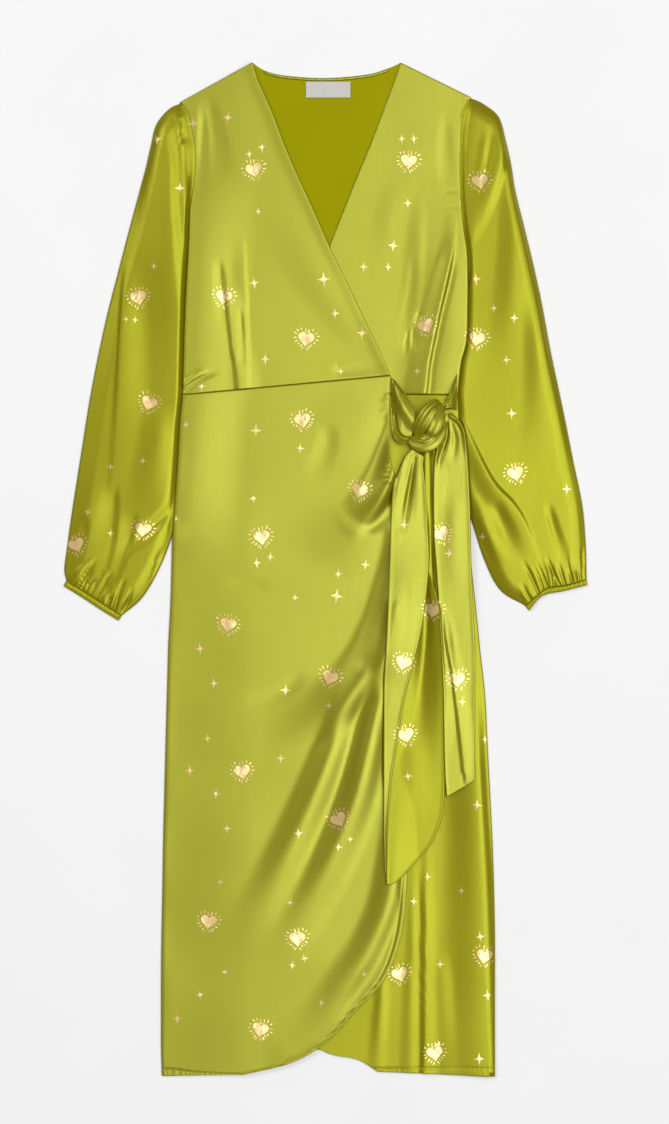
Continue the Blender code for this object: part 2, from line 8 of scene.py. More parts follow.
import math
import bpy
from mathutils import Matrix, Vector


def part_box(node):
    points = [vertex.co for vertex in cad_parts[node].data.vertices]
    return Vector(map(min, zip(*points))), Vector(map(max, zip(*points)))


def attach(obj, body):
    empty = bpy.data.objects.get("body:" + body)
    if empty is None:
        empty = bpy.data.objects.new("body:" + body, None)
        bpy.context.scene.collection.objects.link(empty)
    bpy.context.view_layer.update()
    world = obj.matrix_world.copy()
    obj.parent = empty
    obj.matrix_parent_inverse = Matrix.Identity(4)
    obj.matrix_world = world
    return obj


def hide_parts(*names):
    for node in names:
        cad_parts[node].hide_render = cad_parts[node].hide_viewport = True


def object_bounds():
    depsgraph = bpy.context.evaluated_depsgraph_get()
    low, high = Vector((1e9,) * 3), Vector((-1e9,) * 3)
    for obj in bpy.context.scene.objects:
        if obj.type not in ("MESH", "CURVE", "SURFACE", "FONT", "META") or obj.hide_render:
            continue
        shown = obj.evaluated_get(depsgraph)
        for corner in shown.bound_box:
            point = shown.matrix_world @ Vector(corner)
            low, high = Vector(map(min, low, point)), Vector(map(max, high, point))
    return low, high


bl_info = {
    "name": "Wrap Dress",
    "version": (1, 0, 0),
    "blender": (4, 5, 0),
    "location": "View3D > Sidebar > Dress",
    "description": "Builds a satin wrap dress with its foil print, and the stage that it lies on",
    "category": "Object",
}

import bpy
import numpy as np
from bpy.props import FloatProperty, FloatVectorProperty, PointerProperty
from mathutils import Vector
from mathutils.bvhtree import BVHTree

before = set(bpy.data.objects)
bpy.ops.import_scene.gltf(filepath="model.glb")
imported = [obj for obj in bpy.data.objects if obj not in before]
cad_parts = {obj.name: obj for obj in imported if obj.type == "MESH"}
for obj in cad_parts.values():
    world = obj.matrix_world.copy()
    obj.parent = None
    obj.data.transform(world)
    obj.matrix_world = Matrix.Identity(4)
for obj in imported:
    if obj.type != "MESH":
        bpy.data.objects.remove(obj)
CAD_LOW, CAD_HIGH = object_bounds()

DRESS_LENGTH = 1196.0
UNIT = (CAD_HIGH.y - CAD_LOW.y) / DRESS_LENGTH

# ---------------------------------------------------------------- levels of the layers

WALL = 1.2
LAYER_GAP = 0.6
UNDER_LEVEL = WALL + LAYER_GAP
OVER_LEVEL = UNDER_LEVEL + WALL + LAYER_GAP
STEP_START, STEP_END = -190.0, -84.0

# The body's sides rise over the sleeves: by how much, how far in from the side the rise is full and
# ends, how much wider it is for an upper layer, and from where to where on each side.
SIDE_LIFT = 3.8
LIFT_FLAT, LIFT_END, LIFT_SLACK = 14.0, 36.0, 44.0
RIGHT_LIFT = (8.0, 50.0, 400.0, 505.0)
LEFT_LIFT = (8.0, 50.0, 360.0, 475.0)

# Depth and width of the roll at a bound edge, a turned edge, a seam and the body's side.
BOUND, TURNED, SEAM, SIDE = (0.45, 1.1), (0.8, 1.1), (0.8, 1.5), (1.4, 2.4)
BACK_ROLL = 0.4
CLEARANCE = 0.9
TAIL_CLEARANCE = 1.2

# ---------------------------------------------------------------- edges of the panels

RIGHT_SIDE = (
    (-172, 551), (-163, 538), (-159, 520), (-155, 497), (-154.5, 470), (-157, 445), (-160, 421),
    (-161, 390), (-163, 355), (-165, 318), (-166.5, 280), (-167.5, 243), (-168.5, 206),
)
LEFT_SIDE = (
    (172, 557), (165, 543), (161, 524), (159.5, 499), (159, 470), (160, 438), (163, 405),
    (167, 377), (168, 350), (168, 315), (166.5, 270), (160, 243), (156, 206),
)
OVER_NECK_EDGE = (
    (-86, 598), (-80, 578), (-72, 560), (-62, 537), (-48, 500), (-33, 465), (-16, 428),
    (2, 387), (17, 356), (32, 325), (47, 293), (62, 262), (76.5, 229),
)
UNDER_NECK_EDGE = (
    (89, 598), (82, 579), (76, 562), (65, 533), (53, 501), (40, 470), (26, 435),
    (12, 400), (-3, 362), (-20, 325), (-37, 287), (-55, 248), (-72, 209),
)
BACK_NECK = ((-86, 598), (-72, 589), (-48, 583), (0, 580), (48, 584), (73, 591), (89, 598))
RIGHT_SKIRT_SIDE = (
    (-168.5, 206), (-172, 170), (-174, 130), (-177, 90), (-180, 50), (-181.5, 8), (-183, -40),
    (-185.5, -90), (-187, -145), (-188.5, -200), (-190, -260), (-191.5, -320), (-192.5, -380),
    (-193.5, -435), (-194, -485), (-194, -530), (-194, -560), (-193.5, -582), (-193, -597),
)
LEFT_SKIRT_SIDE = (
    (156, 206), (158, 170), (162, 130), (165, 90), (169, 50), (172, 8), (177, -40),
    (182, -90), (188, -145), (191, -200), (194, -260), (197, -320), (199, -380),
    (200, -435), (200, -485), (200, -530), (200, -560), (200, -580), (200, -597.6),
)
OVER_SKIRT_EDGE = (
    (76.5, 229), (75, 175), (77, 130), (88, 90), (94, 50), (95, 8), (96, -40),
    (96, -90), (96, -145), (97, -200), (97, -260), (97, -320), (96, -372),
    (89, -432), (70, -482), (34, -522), (1, -557), (-40, -581), (-96, -595),
)
UNDER_SKIRT_EDGE = (
    (-72, 209), (-74, 170), (-76, 130), (-84, 90), (-90, 50), (-92, 8), (-93, -40),
    (-93, -90), (-93, -145), (-93, -200), (-93, -260), (-93, -320), (-92, -380),
    (-86, -435), (-70, -490), (-40, -540), (0, -569), (37, -577.5), (62, -592),
)
NECK_ROWS = 6
SHOULDER_SHARE = 0.25
BACK_HEM_RISE, BACK_HEM_TUCK = 28.0, 3.0

RIGHT_SLEEVE_OUTER = (
    (-172, 551), (-187, 541), (-200, 524), (-206, 500), (-212, 474), (-217, 455), (-231, 403),
    (-244, 353), (-260, 290), (-276, 212), (-289, 132), (-299, 68), (-305, 25), (-308, 0),
    (-305.5, -13),
)
RIGHT_SLEEVE_INNER = (
    (-160, 421), (-161.3, 412), (-162, 402), (-162, 390), (-159, 377), (-154, 355), (-152, 312),
    (-156, 255), (-160, 200), (-165, 140), (-172, 88), (-181, 40), (-196, 1), (-216, -33),
    (-240, -54),
)
RIGHT_SLEEVE_END = ((-305.5, -13), (-284, -26), (-262, -40), (-240, -54))
RIGHT_CUFF_EDGE = ((-309, -19), (-288, -32), (-266, -46.5), (-244, -60))
LEFT_SLEEVE_OUTER = (
    (172, 557), (190, 547), (205, 533), (213, 505), (219, 478), (223, 452), (228, 430),
    (241, 378), (254, 320), (266, 256), (280, 190), (293, 125), (303, 76), (307, 30), (308, -11),
)
LEFT_SLEEVE_INNER = (
    (167, 377), (168.5, 370), (169.8, 361), (170, 349), (168, 334), (162, 312), (157, 287),
    (152, 240), (148, 185), (150, 135), (157, 92), (171, 61), (187, 12), (206, -24), (235.5, -42.5),
)
LEFT_SLEEVE_END = ((308, -11), (284, -18), (260, -22.5), (235.5, -42.5))
LEFT_CUFF_EDGE = ((309, -18), (282, -25), (256, -31), (240, -48.5))
SEAM_ROWS = 6

FRONT_TAIL_LEFT = (
    (101.5, 142), (93, 132), (86, 117), (79, 95), (76.5, 60), (75.5, 20), (73.5, -30),
    (71, -83), (68.5, -130), (68, -190), (68, -250), (68.5, -310), (70, -360),
)
FRONT_TAIL_RIGHT = (
    (116, 132.5), (115, 122), (116.5, 108), (118.5, 85), (120.5, 50), (122, 12), (118, -35),
    (110, -83), (94, -148), (86, -195), (78, -247), (74, -303), (72.8, -350),
)
TAIL_TURN_LEFT = (
    (92, 30), (85, -5), (78, -45), (74, -95), (71, -142), (70, -200), (70, -250),
    (70, -290), (70.5, -320), (71, -345), (71, -362), (71, -370),
)
TAIL_TURN_RIGHT = (
    (108, 28), (124, -8), (134, -45), (138, -95), (140.5, -142), (141, -200), (141, -250),
    (137.5, -290), (125, -322), (105, -346), (88, -364), (77, -371),
)
SIDE_TAIL_LEFT = (
    (141, 181), (138, 171), (135.5, 159), (131, 146), (127.5, 125), (126.5, 82), (127.5, 35),
    (130, 0), (133, -45), (136, -95), (138, -142), (139, -201), (140, -240), (142, -268),
)
SIDE_TAIL_RIGHT = (
    (148, 184.5), (156, 177), (163, 164), (166, 143), (168, 118), (170, 80), (171, 38),
    (172, 0), (174, -45), (176, -95), (176, -142), (176, -201), (176, -232), (176, -248),
)
FRONT_FAN_TOP = ((77.2, 227), (84, 220), (92, 209), (100, 197), (107, 187.5))
FRONT_FAN_LOW = ((77, 168), (80, 154), (87, 148), (94, 148.5), (100, 153))
SIDE_FAN_TOP = ((155, 231), (150, 219), (145, 207), (140.3, 197.5))
SIDE_FAN_LOW = ((154.5, 187.5), (150, 189), (145.5, 188.5), (140.8, 187.5))

# ---------------------------------------------------------------- folds

# Height, width on its left and on its right as seen from above, share of the height at its start
# and at its end, and its route down the dress. A negative height is a trough. A fold widens as it
# runs.
OVER_SKIRT_FOLDS = (
    (1.0, 60, 40, 0.3, 0.0, ((70, 206), (48, 180), (24, 150), (4, 116))),
    (12.5, 32, 12, 0.55, 0.0, ((94, 178), (88, 146), (78, 110), (62, 78), (40, 52), (20, 36))),
    (2.4, 16, 60, 0.6, 0.0, ((84, 56), (58, 40), (34, 42), (14, 60), (2, 90))),
    (10.5, 38, 26, 0.9, 0.0, ((96, 40), (90, -4), (74, -70), (48, -124), (14, -160), (-28, -184),
                             (-76, -196))),
    (6.2, 28, 26, 0.2, 0.0, ((44, -124), (22, -172), (-4, -244), (-34, -314), (-70, -388), (-104, -452))),
    (9.0, 26, 28, 0.8, 0.0, ((88, -44), (78, -96), (60, -170), (38, -262), (12, -330), (-24, -400),
                             (-66, -470))),
    (5.0, 28, 17, 0.4, 0.1, ((89, -262), (84, -320), (74, -392), (52, -448), (26, -488), (-2, -530),
                             (-40, -568))),
    (-0.8, 14, 16, 0.0, 0.0, ((-20, -120), (-60, -146), (-104, -152))),
    (-0.7, 16, 18, 0.0, 0.0, ((-2, 178), (2, 150), (-10, 118), (-24, 98))),
    (-0.4, 14, 14, 0.0, 0.0, ((-62, -22), (-92, -17), (-130, -14))),
)
UNDER_SKIRT_FOLDS = (
    (1.8, 3.2, 15, 0.2, 0.9, ((117, -330), (116.5, -400), (116, -480), (116, -560), (115, -598))),
    (1.2, 12, 8, 0.2, 0.7, ((104, -340), (103, -420), (102, -500), (100, -590))),
    (5.2, 50, 10, 0.2, 0.8, ((176, -110), (181, -240), (187, -360), (190, -470), (193, -590))),
    (1.4, 12, 9, 0.0, 0.6, ((70, -470), (66, -520), (62, -586))),
    (1.0, 20, 16, 0.0, 0.5, ((136, -440), (138, -510), (140, -590))),
    (5.0, 17, 17, 0.8, 0.0, ((124, 176), (124, 110), (124, 40), (125, -30), (124, -110))),
    (-7.0, 4.5, 4.5, 0.7, 0.0, ((122, 150), (123, 110), (124, 40), (125.5, -20), (126, -80))),
)
OVER_BODICE_FOLDS = (
    (1.5, 1.8, 24, 0.0, 0.9, ((-121, 350), (-117, 320), (-114, 291), (-110, 259), (-106, 236), (-103, 206))),
    (-1.2, 12, 7, 0.0, 0.1, ((-126, 370), (-123, 340), (-119, 304), (-115, 276))),
    (0.9, 20, 2.4, 0.0, 0.9, ((-97, 400), (-95, 360), (-93.5, 320), (-92.5, 270), (-91, 208))),
    (-0.8, 5, 5, 0.0, 0.5, ((-101, 312), (-99, 280), (-97, 246))),
    (1.1, 34, 36, 0.0, 0.0, ((70, 246), (34, 290), (-4, 340), (-44, 410), (-72, 470))),
    (-1.1, 16, 16, 0.0, 0.0, ((-140, 562), (-132, 520), (-126, 486), (-122, 452))),
    (-0.9, 8, 9, 0.0, 0.1, ((-147, 552), (-145, 520), (-146, 480), (-150, 440))),
    (-2.0, 3.0, 4.5, 0.9, 0.0, ((-168, 210), (-156, 219), (-142, 227), (-122, 234))),
    (1.3, 4, 6, 0.9, 0.0, ((-168, 217), (-152, 228), (-136, 237))),
    (-0.8, 10, 9, 0.0, 0.4, ((4, 234), (26, 235), (50, 237), (66, 240))),
    (-0.5, 2.2, 3, 0.0, 0.0, ((12, 243), (16, 238), (20, 232))),
)
UNDER_BODICE_FOLDS = (
    (2.8, 22, 2.8, 0.1, 0.9, ((154, 408), (150, 375), (141, 334), (134, 304), (128, 275), (122, 244),
                              (118, 210))),
    (-0.8, 3, 6, 0.1, 0.7, ((157, 396), (153, 366), (145, 330), (137, 300), (131, 272), (125, 244),
                            (121, 212))),
    (0.45, 18, 12, 0.0, 0.4, ((113, 450), (111, 405), (108, 362), (103, 318), (98, 285), (95, 248))),
    (-0.35, 7, 12, 0.0, 0.4, ((104, 380), (101, 340), (95, 300), (92, 262))),
    (-1.2, 1.8, 2.0, 0.0, 0.0, ((97.5, 286), (95, 268), (94, 250))),
    (-1.2, 1.8, 2.2, 0.0, 0.0, ((103, 288), (103.5, 270), (104, 252))),
    (-0.8, 4, 5, 0.0, 0.0, ((112, 306), (108, 296), (105, 286))),
    (-0.6, 12, 14, 0.0, 0.0, ((142, 545), (140, 500), (143, 460), (148, 420))),
    (-0.6, 1.8, 2.4, 0.0, 0.4, ((138, 448), (146, 446), (157, 447))),
    (-0.5, 1.8, 2.4, 0.0, 0.3, ((142, 429), (149, 427), (159, 428))),
    (0.4, 26, 28, 0.0, 0.0, ((96, 470), (76, 420), (60, 370), (56, 330))),
)
RIGHT_SLEEVE_FOLDS = (
    (3.2, 100, 12, 0.9, 0.4, ((-170, 500), (-166, 420), (-162, 340), (-160, 260), (-164, 180), (-174, 100),
                              (-194, 30))),
    (-1.2, 12, 14, 0.3, 0.0, ((-184, 530), (-176, 498), (-168, 462), (-162, 436))),
    (2.6, 44, 14, 0.2, 0.0, ((-182, 520), (-184, 450), (-180, 380), (-175, 310), (-172, 240), (-174, 180))),
    (2.4, 3.6, 40, 0.0, 0.0, ((-234, 372), (-238, 330), (-242, 270), (-246, 200), (-250, 130), (-255, 70))),
    (1.6, 30, 26, 0.0, 0.0, ((-194, 200), (-196, 150), (-202, 100), (-212, 50))),
    (-2.2, 12, 9, 0.2, 0.0, ((-176, 84), (-196, 56), (-222, 34), (-246, 12))),
    (-1.3, 26, 6, 0.0, 0.4, ((-246, 104), (-249, 66), (-252, 34), (-260, 2))),
    (-1.3, 24, 6, 0.0, 0.4, ((-222, 72), (-228, 46), (-238, 16), (-250, -14))),
    (-1.2, 14, 4.5, 0.0, 0.4, ((-280, 66), (-285, 36), (-292, 6))),
)
LEFT_SLEEVE_FOLDS = (
    (2.8, 104, 10, 0.7, 0.5, ((208, 524), (218, 480), (232, 420), (250, 340), (268, 250), (284, 170),
                              (296, 90), (300, 30))),
    (2.4, 20, 10, 0.2, 0.2, ((213, 540), (210, 500), (199, 455), (185, 420), (172, 396))),
    (0.8, 9, 7, 0.1, 0.0, ((190, 522), (186, 488), (180, 456), (172, 430))),
    (2.2, 26, 40, 0.1, 0.0, ((222, 480), (224, 420), (224, 350), (220, 280), (212, 210))),
    (2.0, 24, 40, 0.0, 0.1, ((246, 330), (253, 260), (256, 190), (254, 120))),
    (3.0, 26, 3.0, 0.5, 0.1, ((164, 172), (184, 128), (200, 100), (219, 80), (232, 61), (241, 40),
                              (256, -6))),
    (-1.6, 12, 15, 0.0, 0.0, ((196, 84), (206, 60), (216, 36), (224, 8))),
    (1.4, 14, 16, 0.3, 0.0, ((172, 84), (190, 46), (214, 12), (238, -16))),
    (-1.6, 7, 10, 0.0, 0.3, ((260, 82), (268, 50), (276, 26), (284, 4))),
)
BACK_BODICE_FOLDS = (
    (0.35, 30, 34, 0.0, 0.0, ((-70, 560), (-40, 480), (0, 400), (20, 300))),
    (-0.30, 36, 30, 0.0, 0.0, ((80, 540), (60, 460), (30, 380), (10, 260))),
)
BACK_SKIRT_FOLDS = (
    (0.32, 26, 32, 0.0, 0.4, ((-60, 180), (-74, 0), (-84, -200), (-90, -420))),
    (0.28, 22, 30, 0.0, 0.5, ((40, 190), (30, 20), (36, -190), (50, -460))),
    (-0.30, 30, 26, 0.0, 0.4, ((-10, 120), (-16, -60), (-22, -300), (-30, -500))),
    (0.30, 24, 20, 0.0, 0.5, ((110, 60), (116, -120), (120, -320), (118, -540))),
)
FRONT_TAIL_FOLDS = (
    (1.0, 7, 6, 0.8, 0.0, ((97, 144), (91, 120), (86, 96), (82, 66), (80, 20))),
    (-3.4, 5, 4.5, 0.3, 0.0, ((105, 130), (101, 106), (97, 82), (93, 56), (90, 36))),
    (0.5, 9, 6, 0.5, 0.0, ((111, 136), (109, 106), (108, 70), (107, 20))),
    (0.8, 16, 14, 0.0, 0.0, ((92, 20), (90, -60), (84, -150))),
)
TAIL_TURN_FOLDS = (
    (5.6, 26, 7, 0.3, 0.0, ((132, 20), (136, -40), (138, -95), (140, -150), (140, -210), (140, -262))),
    (-1.6, 10, 12, 0.3, 0.0, ((112, 10), (118, -60), (112, -140), (104, -220))),
    (0.6, 20, 24, 0.0, 0.0, ((104, -180), (104, -250), (96, -330))),
)
SIDE_TAIL_FOLDS = (
    (2.2, 2.6, 4, 0.6, 0.0, ((139, 180), (137, 166), (133, 150), (129.5, 128), (129, 104))),
    (-2.8, 3.2, 4, 0.6, 0.0, ((143, 172), (143, 158), (139, 144), (134, 130), (132, 112))),
    (2.4, 4, 5, 0.8, 0.0, ((146, 181), (156, 174), (162, 164), (165, 150), (167, 128))),
    (-1.4, 5, 6, 0.5, 0.0, ((148, 170), (152, 154), (150, 136), (146, 122))),
    (2.0, 2.6, 15, 0.0, 0.6, ((137, -30), (142, -80), (149, -120), (154, -160), (159, -201), (163, -238))),
    (0.8, 16, 16, 0.0, 0.0, ((154, 100), (152, 30), (154, -50))),
)
FRONT_FAN_FOLDS = (
    (2.0, 1.8, 2.0, 0.9, 1.0, ((77, 229), (86, 217), (96, 203), (107, 189))),
    (-1.4, 1.2, 1.2, 0.2, 0.6, ((79, 223), (88, 210), (98, 196), (107, 184))),
    (2.6, 9, 9, 0.6, 1.0, ((80, 215), (86, 200), (95, 185), (104, 172))),
    (-4.0, 4.0, 3.0, 0.1, 0.4, ((82, 188), (82, 175), (84, 163), (91, 155), (100, 154))),
    (2.4, 4.0, 3.0, 0.7, 0.9, ((76, 190), (76, 170), (80, 155), (88, 148), (100, 149))),
)
SIDE_FAN_FOLDS = (
    (1.8, 1.8, 2.4, 1.0, 1.0, ((154, 229), (149, 216), (145, 204), (141, 195))),
    (1.5, 2.0, 2.4, 0.6, 1.0, ((154, 212), (150, 204), (146, 197), (141, 192))),
    (-1.2, 1.5, 1.6, 0.3, 0.8, ((154, 220), (149, 209), (145, 200), (141, 193))),
    (1.6, 2.4, 2.4, 0.8, 1.0, ((155, 194), (150, 193), (146, 191.5), (141, 189.5))),
)
FOLD_RISE, FOLD_FALL = 0.30, 0.62
FOLD_NARROW, FOLD_SPREAD = 0.75, 0.6

# Height on the skirt's edge of each short drag line of its gathers, and how far it reaches in.
DRAG_LINES = (
    (206, 11), (200, 15), (194.5, 12), (188, 17), (181, 12), (128, 12), (122, 17), (116.5, 13), (111, 18),
    (105, 12),
)

# Name, route, widths, depths, number and weight of the ripples, and seed of each turn of the knot.
KNOT_TURNS = (
    ("low", ((137, 180, 9), (132, 162, 15), (122, 150, 18), (110, 149, 16.5), (99, 157, 10)),
     (12, 17, 20, 19, 13), (7, 9, 10, 9, 7), ((2, 0.9), (5, 0.5), (9, 0.25)), 61),
    ("side", ((128, 196, 10), (131, 186, 15), (130, 173, 18.5), (125, 161, 18.5), (119, 152, 14)),
     (12, 17, 18, 16, 10), (7, 9, 10, 9, 6), ((2, 0.8), (4, 0.6), (7, 0.3)), 62),
    ("top", ((134, 196, 12), (127, 193, 18), (119, 184, 20.5), (112, 171, 18.5), (106, 158, 12)),
     (10, 14, 16, 17, 12), (6, 7, 8, 8, 6), ((3, 0.7), (5, 0.6), (9, 0.25)), 63),
)

# ---------------------------------------------------------------- places of the print

# Place of each heart and how far it is turned in degrees, and place and size of each star.
HEARTS = (
    (-84, 470, 12), (98, 480, -6), (182, 456, 8), (-120, 320, -14), (-220, 319, 10), (-23, 271, -8),
    (119, 286, 24), (178, 271, -12), (-208, 195, -22), (-27, 175, 10), (40, 92, -16), (224, 112, 14),
    (-75, 37, 8), (-215, 46, -8), (-293, 28, 20), (-115, -66, -12), (137, 41, 30), (91, -110, -14),
    (155, -130, 6), (5, -128, -18), (126, -49, -10), (95, -196, 14), (-98, -239, 10), (16, -295, 28),
    (-138, -416, -10), (-33, -436, 4), (187, -456, -8), (88, -478, 16), (-77, -543, -12),
    (129, -571, 8),
)
STARS = (
    (-115, 533, 5.5), (-75, 498, 4.5), (-90, 490, 4.5), (-79, 422, 3.5), (-2, 342, 6.5), (11, 302, 5.0),
    (43, 279, 5.5), (-84, 338, 5.0), (-71, 248, 5.0), (80, 382, 5.5), (74, 357, 4.0), (45, 357, 4.5),
    (97, 432, 4.0), (90, 508, 4.0), (104, 508, 4.5), (108, 234, 4.0), (177, 342, 5.5), (-171, 449, 5.5),
    (-156, 526, 5.0), (-199, 507, 5.5), (198, 308, 4.0), (-146, 216, 4.0), (18, 234, 4.0),
    (-82, 164, 6.0), (-30, 143, 4.5), (-85, 84, 4.5), (-81, 8, 4.5), (-65, 15, 4.5), (-36, -33, 4.0),
    (15, -5, 4.5), (13, -31, 6.5), (47, 6, 4.5), (93, 53, 4.5), (145, 19, 4.5), (-148, -93, 5.0),
    (-132, -134, 5.0), (-47, -142, 6.0), (4, -160, 4.0), (161, -155, 4.5), (-164, 171, 4.0),
    (-176, 60, 3.5), (-139, -199, 4.0), (-160, -237, 5.5), (-53, -222, 4.5), (-129, -264, 4.5),
    (-116, -305, 4.5), (-32, -310, 5.0), (15, -326, 4.0), (29, -317, 3.5), (97, -243, 4.5),
    (178, -277, 5.5), (-41, -392, 4.5), (188, -200, 4.0), (-39, -466, 4.0), (-25, -458, 4.0),
    (46, -476, 3.5), (-5, -510, 4.0), (104, -391, 4.0), (120, -362, 4.0), (160, -378, 4.0),
    (135, -465, 4.0), (182, -432, 5.0), (191, -501, 5.0), (181, -576, 5.5), (133, -560, 4.0),
    (-124, -368, 3.5), (-118, -474, 3.5), (-148, -501, 4.5), (-175, -529, 4.5), (-202, 357, 4.0),
    (-224, 294, 3.5), (-235, 295, 3.5), (-215, 128, 4.0), (-253, 121, 4.0), (-253, 43, 4.0),
    (-280, 68, 4.0), (222, 296, 4.5), (213, 247, 4.0), (219, 184, 5.5), (284, 95, 5.0), (185, 39, 4.0),
)
HEART_SIZE, RAY_GAP, RAY_LENGTH, RAY_WIDTH = 9.4, 2.5, 3.4, 1.2
HEART_POINTS, RIM_POINTS, RAYS = 44, 200, 20
STAR_SCALE, STAR_CURVE, STAR_POINTS = 1.45, 0.46, 32
PRINT_LIFT, PRINT_STRETCH = 0.14, 1.5
HIDDEN_STEP_X, HIDDEN_STEP_Y = 66, 74

# ---------------------------------------------------------------- spacing and small parts

EDGE_POINTS = (0.0, 0.5, 1.2, 2.2)
HEM_POINTS = (0.0, 0.5, 1.2, 2.2, 3.6, 5.0, 6.4, 7.6, 8.6, 10.0, 12.0, 14.5)
STEPS_BETWEEN = 24
LABEL_HEIGHT = 19.0
FACING_WIDTH, FACING_LENGTH = 3.5, 170.0
LOOK_FROM = 0.2

# ---------------------------------------------------------------- sizes and colours


def colour(name, description, rgb):
    return FloatVectorProperty(
        name=name, description=description, size=4, default=(*rgb, 1.0), subtype="COLOR"
    )


def number(name, description, default, **kind):
    return FloatProperty(name=name, description=description, default=default, **kind)


class DressCloth(bpy.types.PropertyGroup):
    """Sizes and colours of the cloth."""

    thickness: number(
        "Thickness", "Thickness of one layer of satin, with its roll at the edges", 0.7 * UNIT, unit="LENGTH"
    )
    cell: number("Cell", "Distance between the points of a panel", 2.3 * UNIT, unit="LENGTH")
    fold_height: number(
        "Fold height", "How high the folds stand, as a share of the laid dress", 1.0, subtype="FACTOR"
    )
    satin: colour("Satin", "Colour of the satin's right side", (0.165, 0.133, 0.0003))
    deep: colour("Deep satin", "Colour of the satin where its threads lie deeper", (0.14, 0.108, 0.0002))
    gloss: colour("Gloss", "Tint of the satin's gloss", (0.88, 0.98, 0.15))
    cross_gloss: colour(
        "Cross-grain gloss", "Tint of the gloss on panels seen across the grain of their cloth",
        (0.74, 0.80, 0.07),
    )
    wrong_side: colour("Wrong side", "Colour of the satin's matt inside", (0.285, 0.275, 0.0008))
    casing: colour("Cuff casing", "Colour of the gathered casing round the elastic", (0.26, 0.235, 0.0008))
    label: colour("Label", "Colour of the bare woven label", (0.53, 0.505, 0.48))
    foil: colour("Foil", "Colour of the rose gold foil", (0.80, 0.57, 0.28))
    worn_foil: colour("Worn foil", "Colour of the foil where it is rubbed", (0.58, 0.36, 0.13))


class DressStage(bpy.types.PropertyGroup):
    """Sizes, strengths and colours of the stage."""

    camera_height: number("Camera height", "Height of the camera above the surface", 3.1316, unit="LENGTH")
    camera_lens: number("Lens", "Focal length in millimetres on a 36 mm sensor", 85.0)
    top_power: number("Top light", "Power of the large soft light above the camera", 710.0, unit="POWER")
    key_power: number("Key light", "Power of the light from the upper left", 50.0, unit="POWER")
    room: number("Room light", "Strength of the even light of the room", 0.20)
    floor: colour("Floor", "Colour of the surface that the dress lies on", (0.79, 0.79, 0.79))


# Size and place of each light, in metres.
TOP_LIGHT = ((6.6, 7.0), (2.9, -0.2, 8.0))
KEY_LIGHT = ((1.6, 1.6), (-2.1, 1.9, 3.2))
CAMERA_X, CAMERA_Y, SENSOR_WIDTH = 0.0106, 0.0091, 36.0
FLOOR_HALF = 30.0


def cloth_values():
    return bpy.context.scene.dress_cloth


def cell(times=1.0):
    return times * cloth_values().cell / UNIT


# ---------------------------------------------------------------- curves and grids


def ease(value, start, stop):
    """Rises smoothly from 0 at the start to 1 at the stop, which may be the smaller one."""
    share = np.clip((value - start) / (stop - start), 0.0, 1.0)
    return share * share * (3.0 - 2.0 * share)


def mound(distance, place, width):
    """A smooth mound of height 1 at a place, falling off at a width from it."""
    return np.exp(-(((distance - place) / width) ** 2))


def quarter_round(distance, width):
    """0 at an edge, rising as a quarter circle to 1 at a width from it."""
    share = np.clip(distance / width, 0.0, 1.0)
    return np.sqrt(1.0 - (1.0 - share) ** 2)


def along(points, stations):
    """Points on a smooth curve through the given ones, at stations counted in points."""
    points = np.asarray(points, float)
    slopes = np.gradient(points, axis=0)
    stations = np.clip(np.asarray(stations, float), 0, len(points) - 1)
    first = np.minimum(stations.astype(int), len(points) - 2)
    t = (stations - first)[:, None]
    start, stop = points[first], points[first + 1]
    leaving, arriving = slopes[first], slopes[first + 1]
    curve = (2 * t**3 - 3 * t**2 + 1) * start + (3 * t**2 - 2 * t**3) * stop
    return curve + (t**3 - 2 * t**2 + t) * leaving + (t**3 - t**2) * arriving


def run_along(*edges):
    """Close stations along curves that have as many points, and how far the longest has run there."""
    last = len(edges[0]) - 1
    dense = np.linspace(0, last, last * STEPS_BETWEEN + 1)
    steps = [np.linalg.norm(np.diff(along(edge, dense), axis=0), axis=1) for edge in edges]
    return dense, np.concatenate([[0.0], np.cumsum(np.max(steps, axis=0))])


def even_stations(points, count):
    """Stations that are evenly spaced along the curve through the points."""
    dense, run = run_along(points)
    return np.interp(np.linspace(0, run[-1], count), run, dense)


def spaced(length, step, first=EDGE_POINTS, last=EDGE_POINTS, count=None):
    """Distances from 0 to length, a step apart or as many as asked, closer together at the ends."""
    room = min(1.0, length / (3.0 * (first[-1] + last[-1] + 0.1)))
    near = np.array(first) * room
    far = length - np.array(last)[::-1] * room
    inner = far[0] - near[-1]
    cells = max(2, round(inner / step)) if count is None else count - len(first) - len(last) + 1
    return np.concatenate([near, np.linspace(near[-1], far[0], cells + 1)[1:-1], far])


def ruled(left, right, step, across=None, ends=(EDGE_POINTS,) * 2, sides=(EDGE_POINTS,) * 2):
    """Points ruled between two edges, a step apart. Returns the grid and each row's station."""
    dense, run = run_along(left, right)
    stations = np.interp(spaced(run[-1], step, *ends), run, dense)
    starts, stops = along(left, stations), along(right, stations)
    widths = np.linalg.norm(stops - starts, axis=1)
    count = len(spaced(widths.max(), across or step, *sides))
    rows = []
    for start, stop, width in zip(starts, stops, widths):
        share = spaced(width, step, *sides, count=count)[:, None] / width
        rows.append(start * (1 - share) + stop * share)
    return np.array(rows), stations


def edges_of(grid):
    """Distances of each point from the grid's upper, lower, left and right edge."""
    return [np.linalg.norm(grid - edge, axis=2) for edge in (grid[:1], grid[-1:], grid[:, :1], grid[:, -1:])]


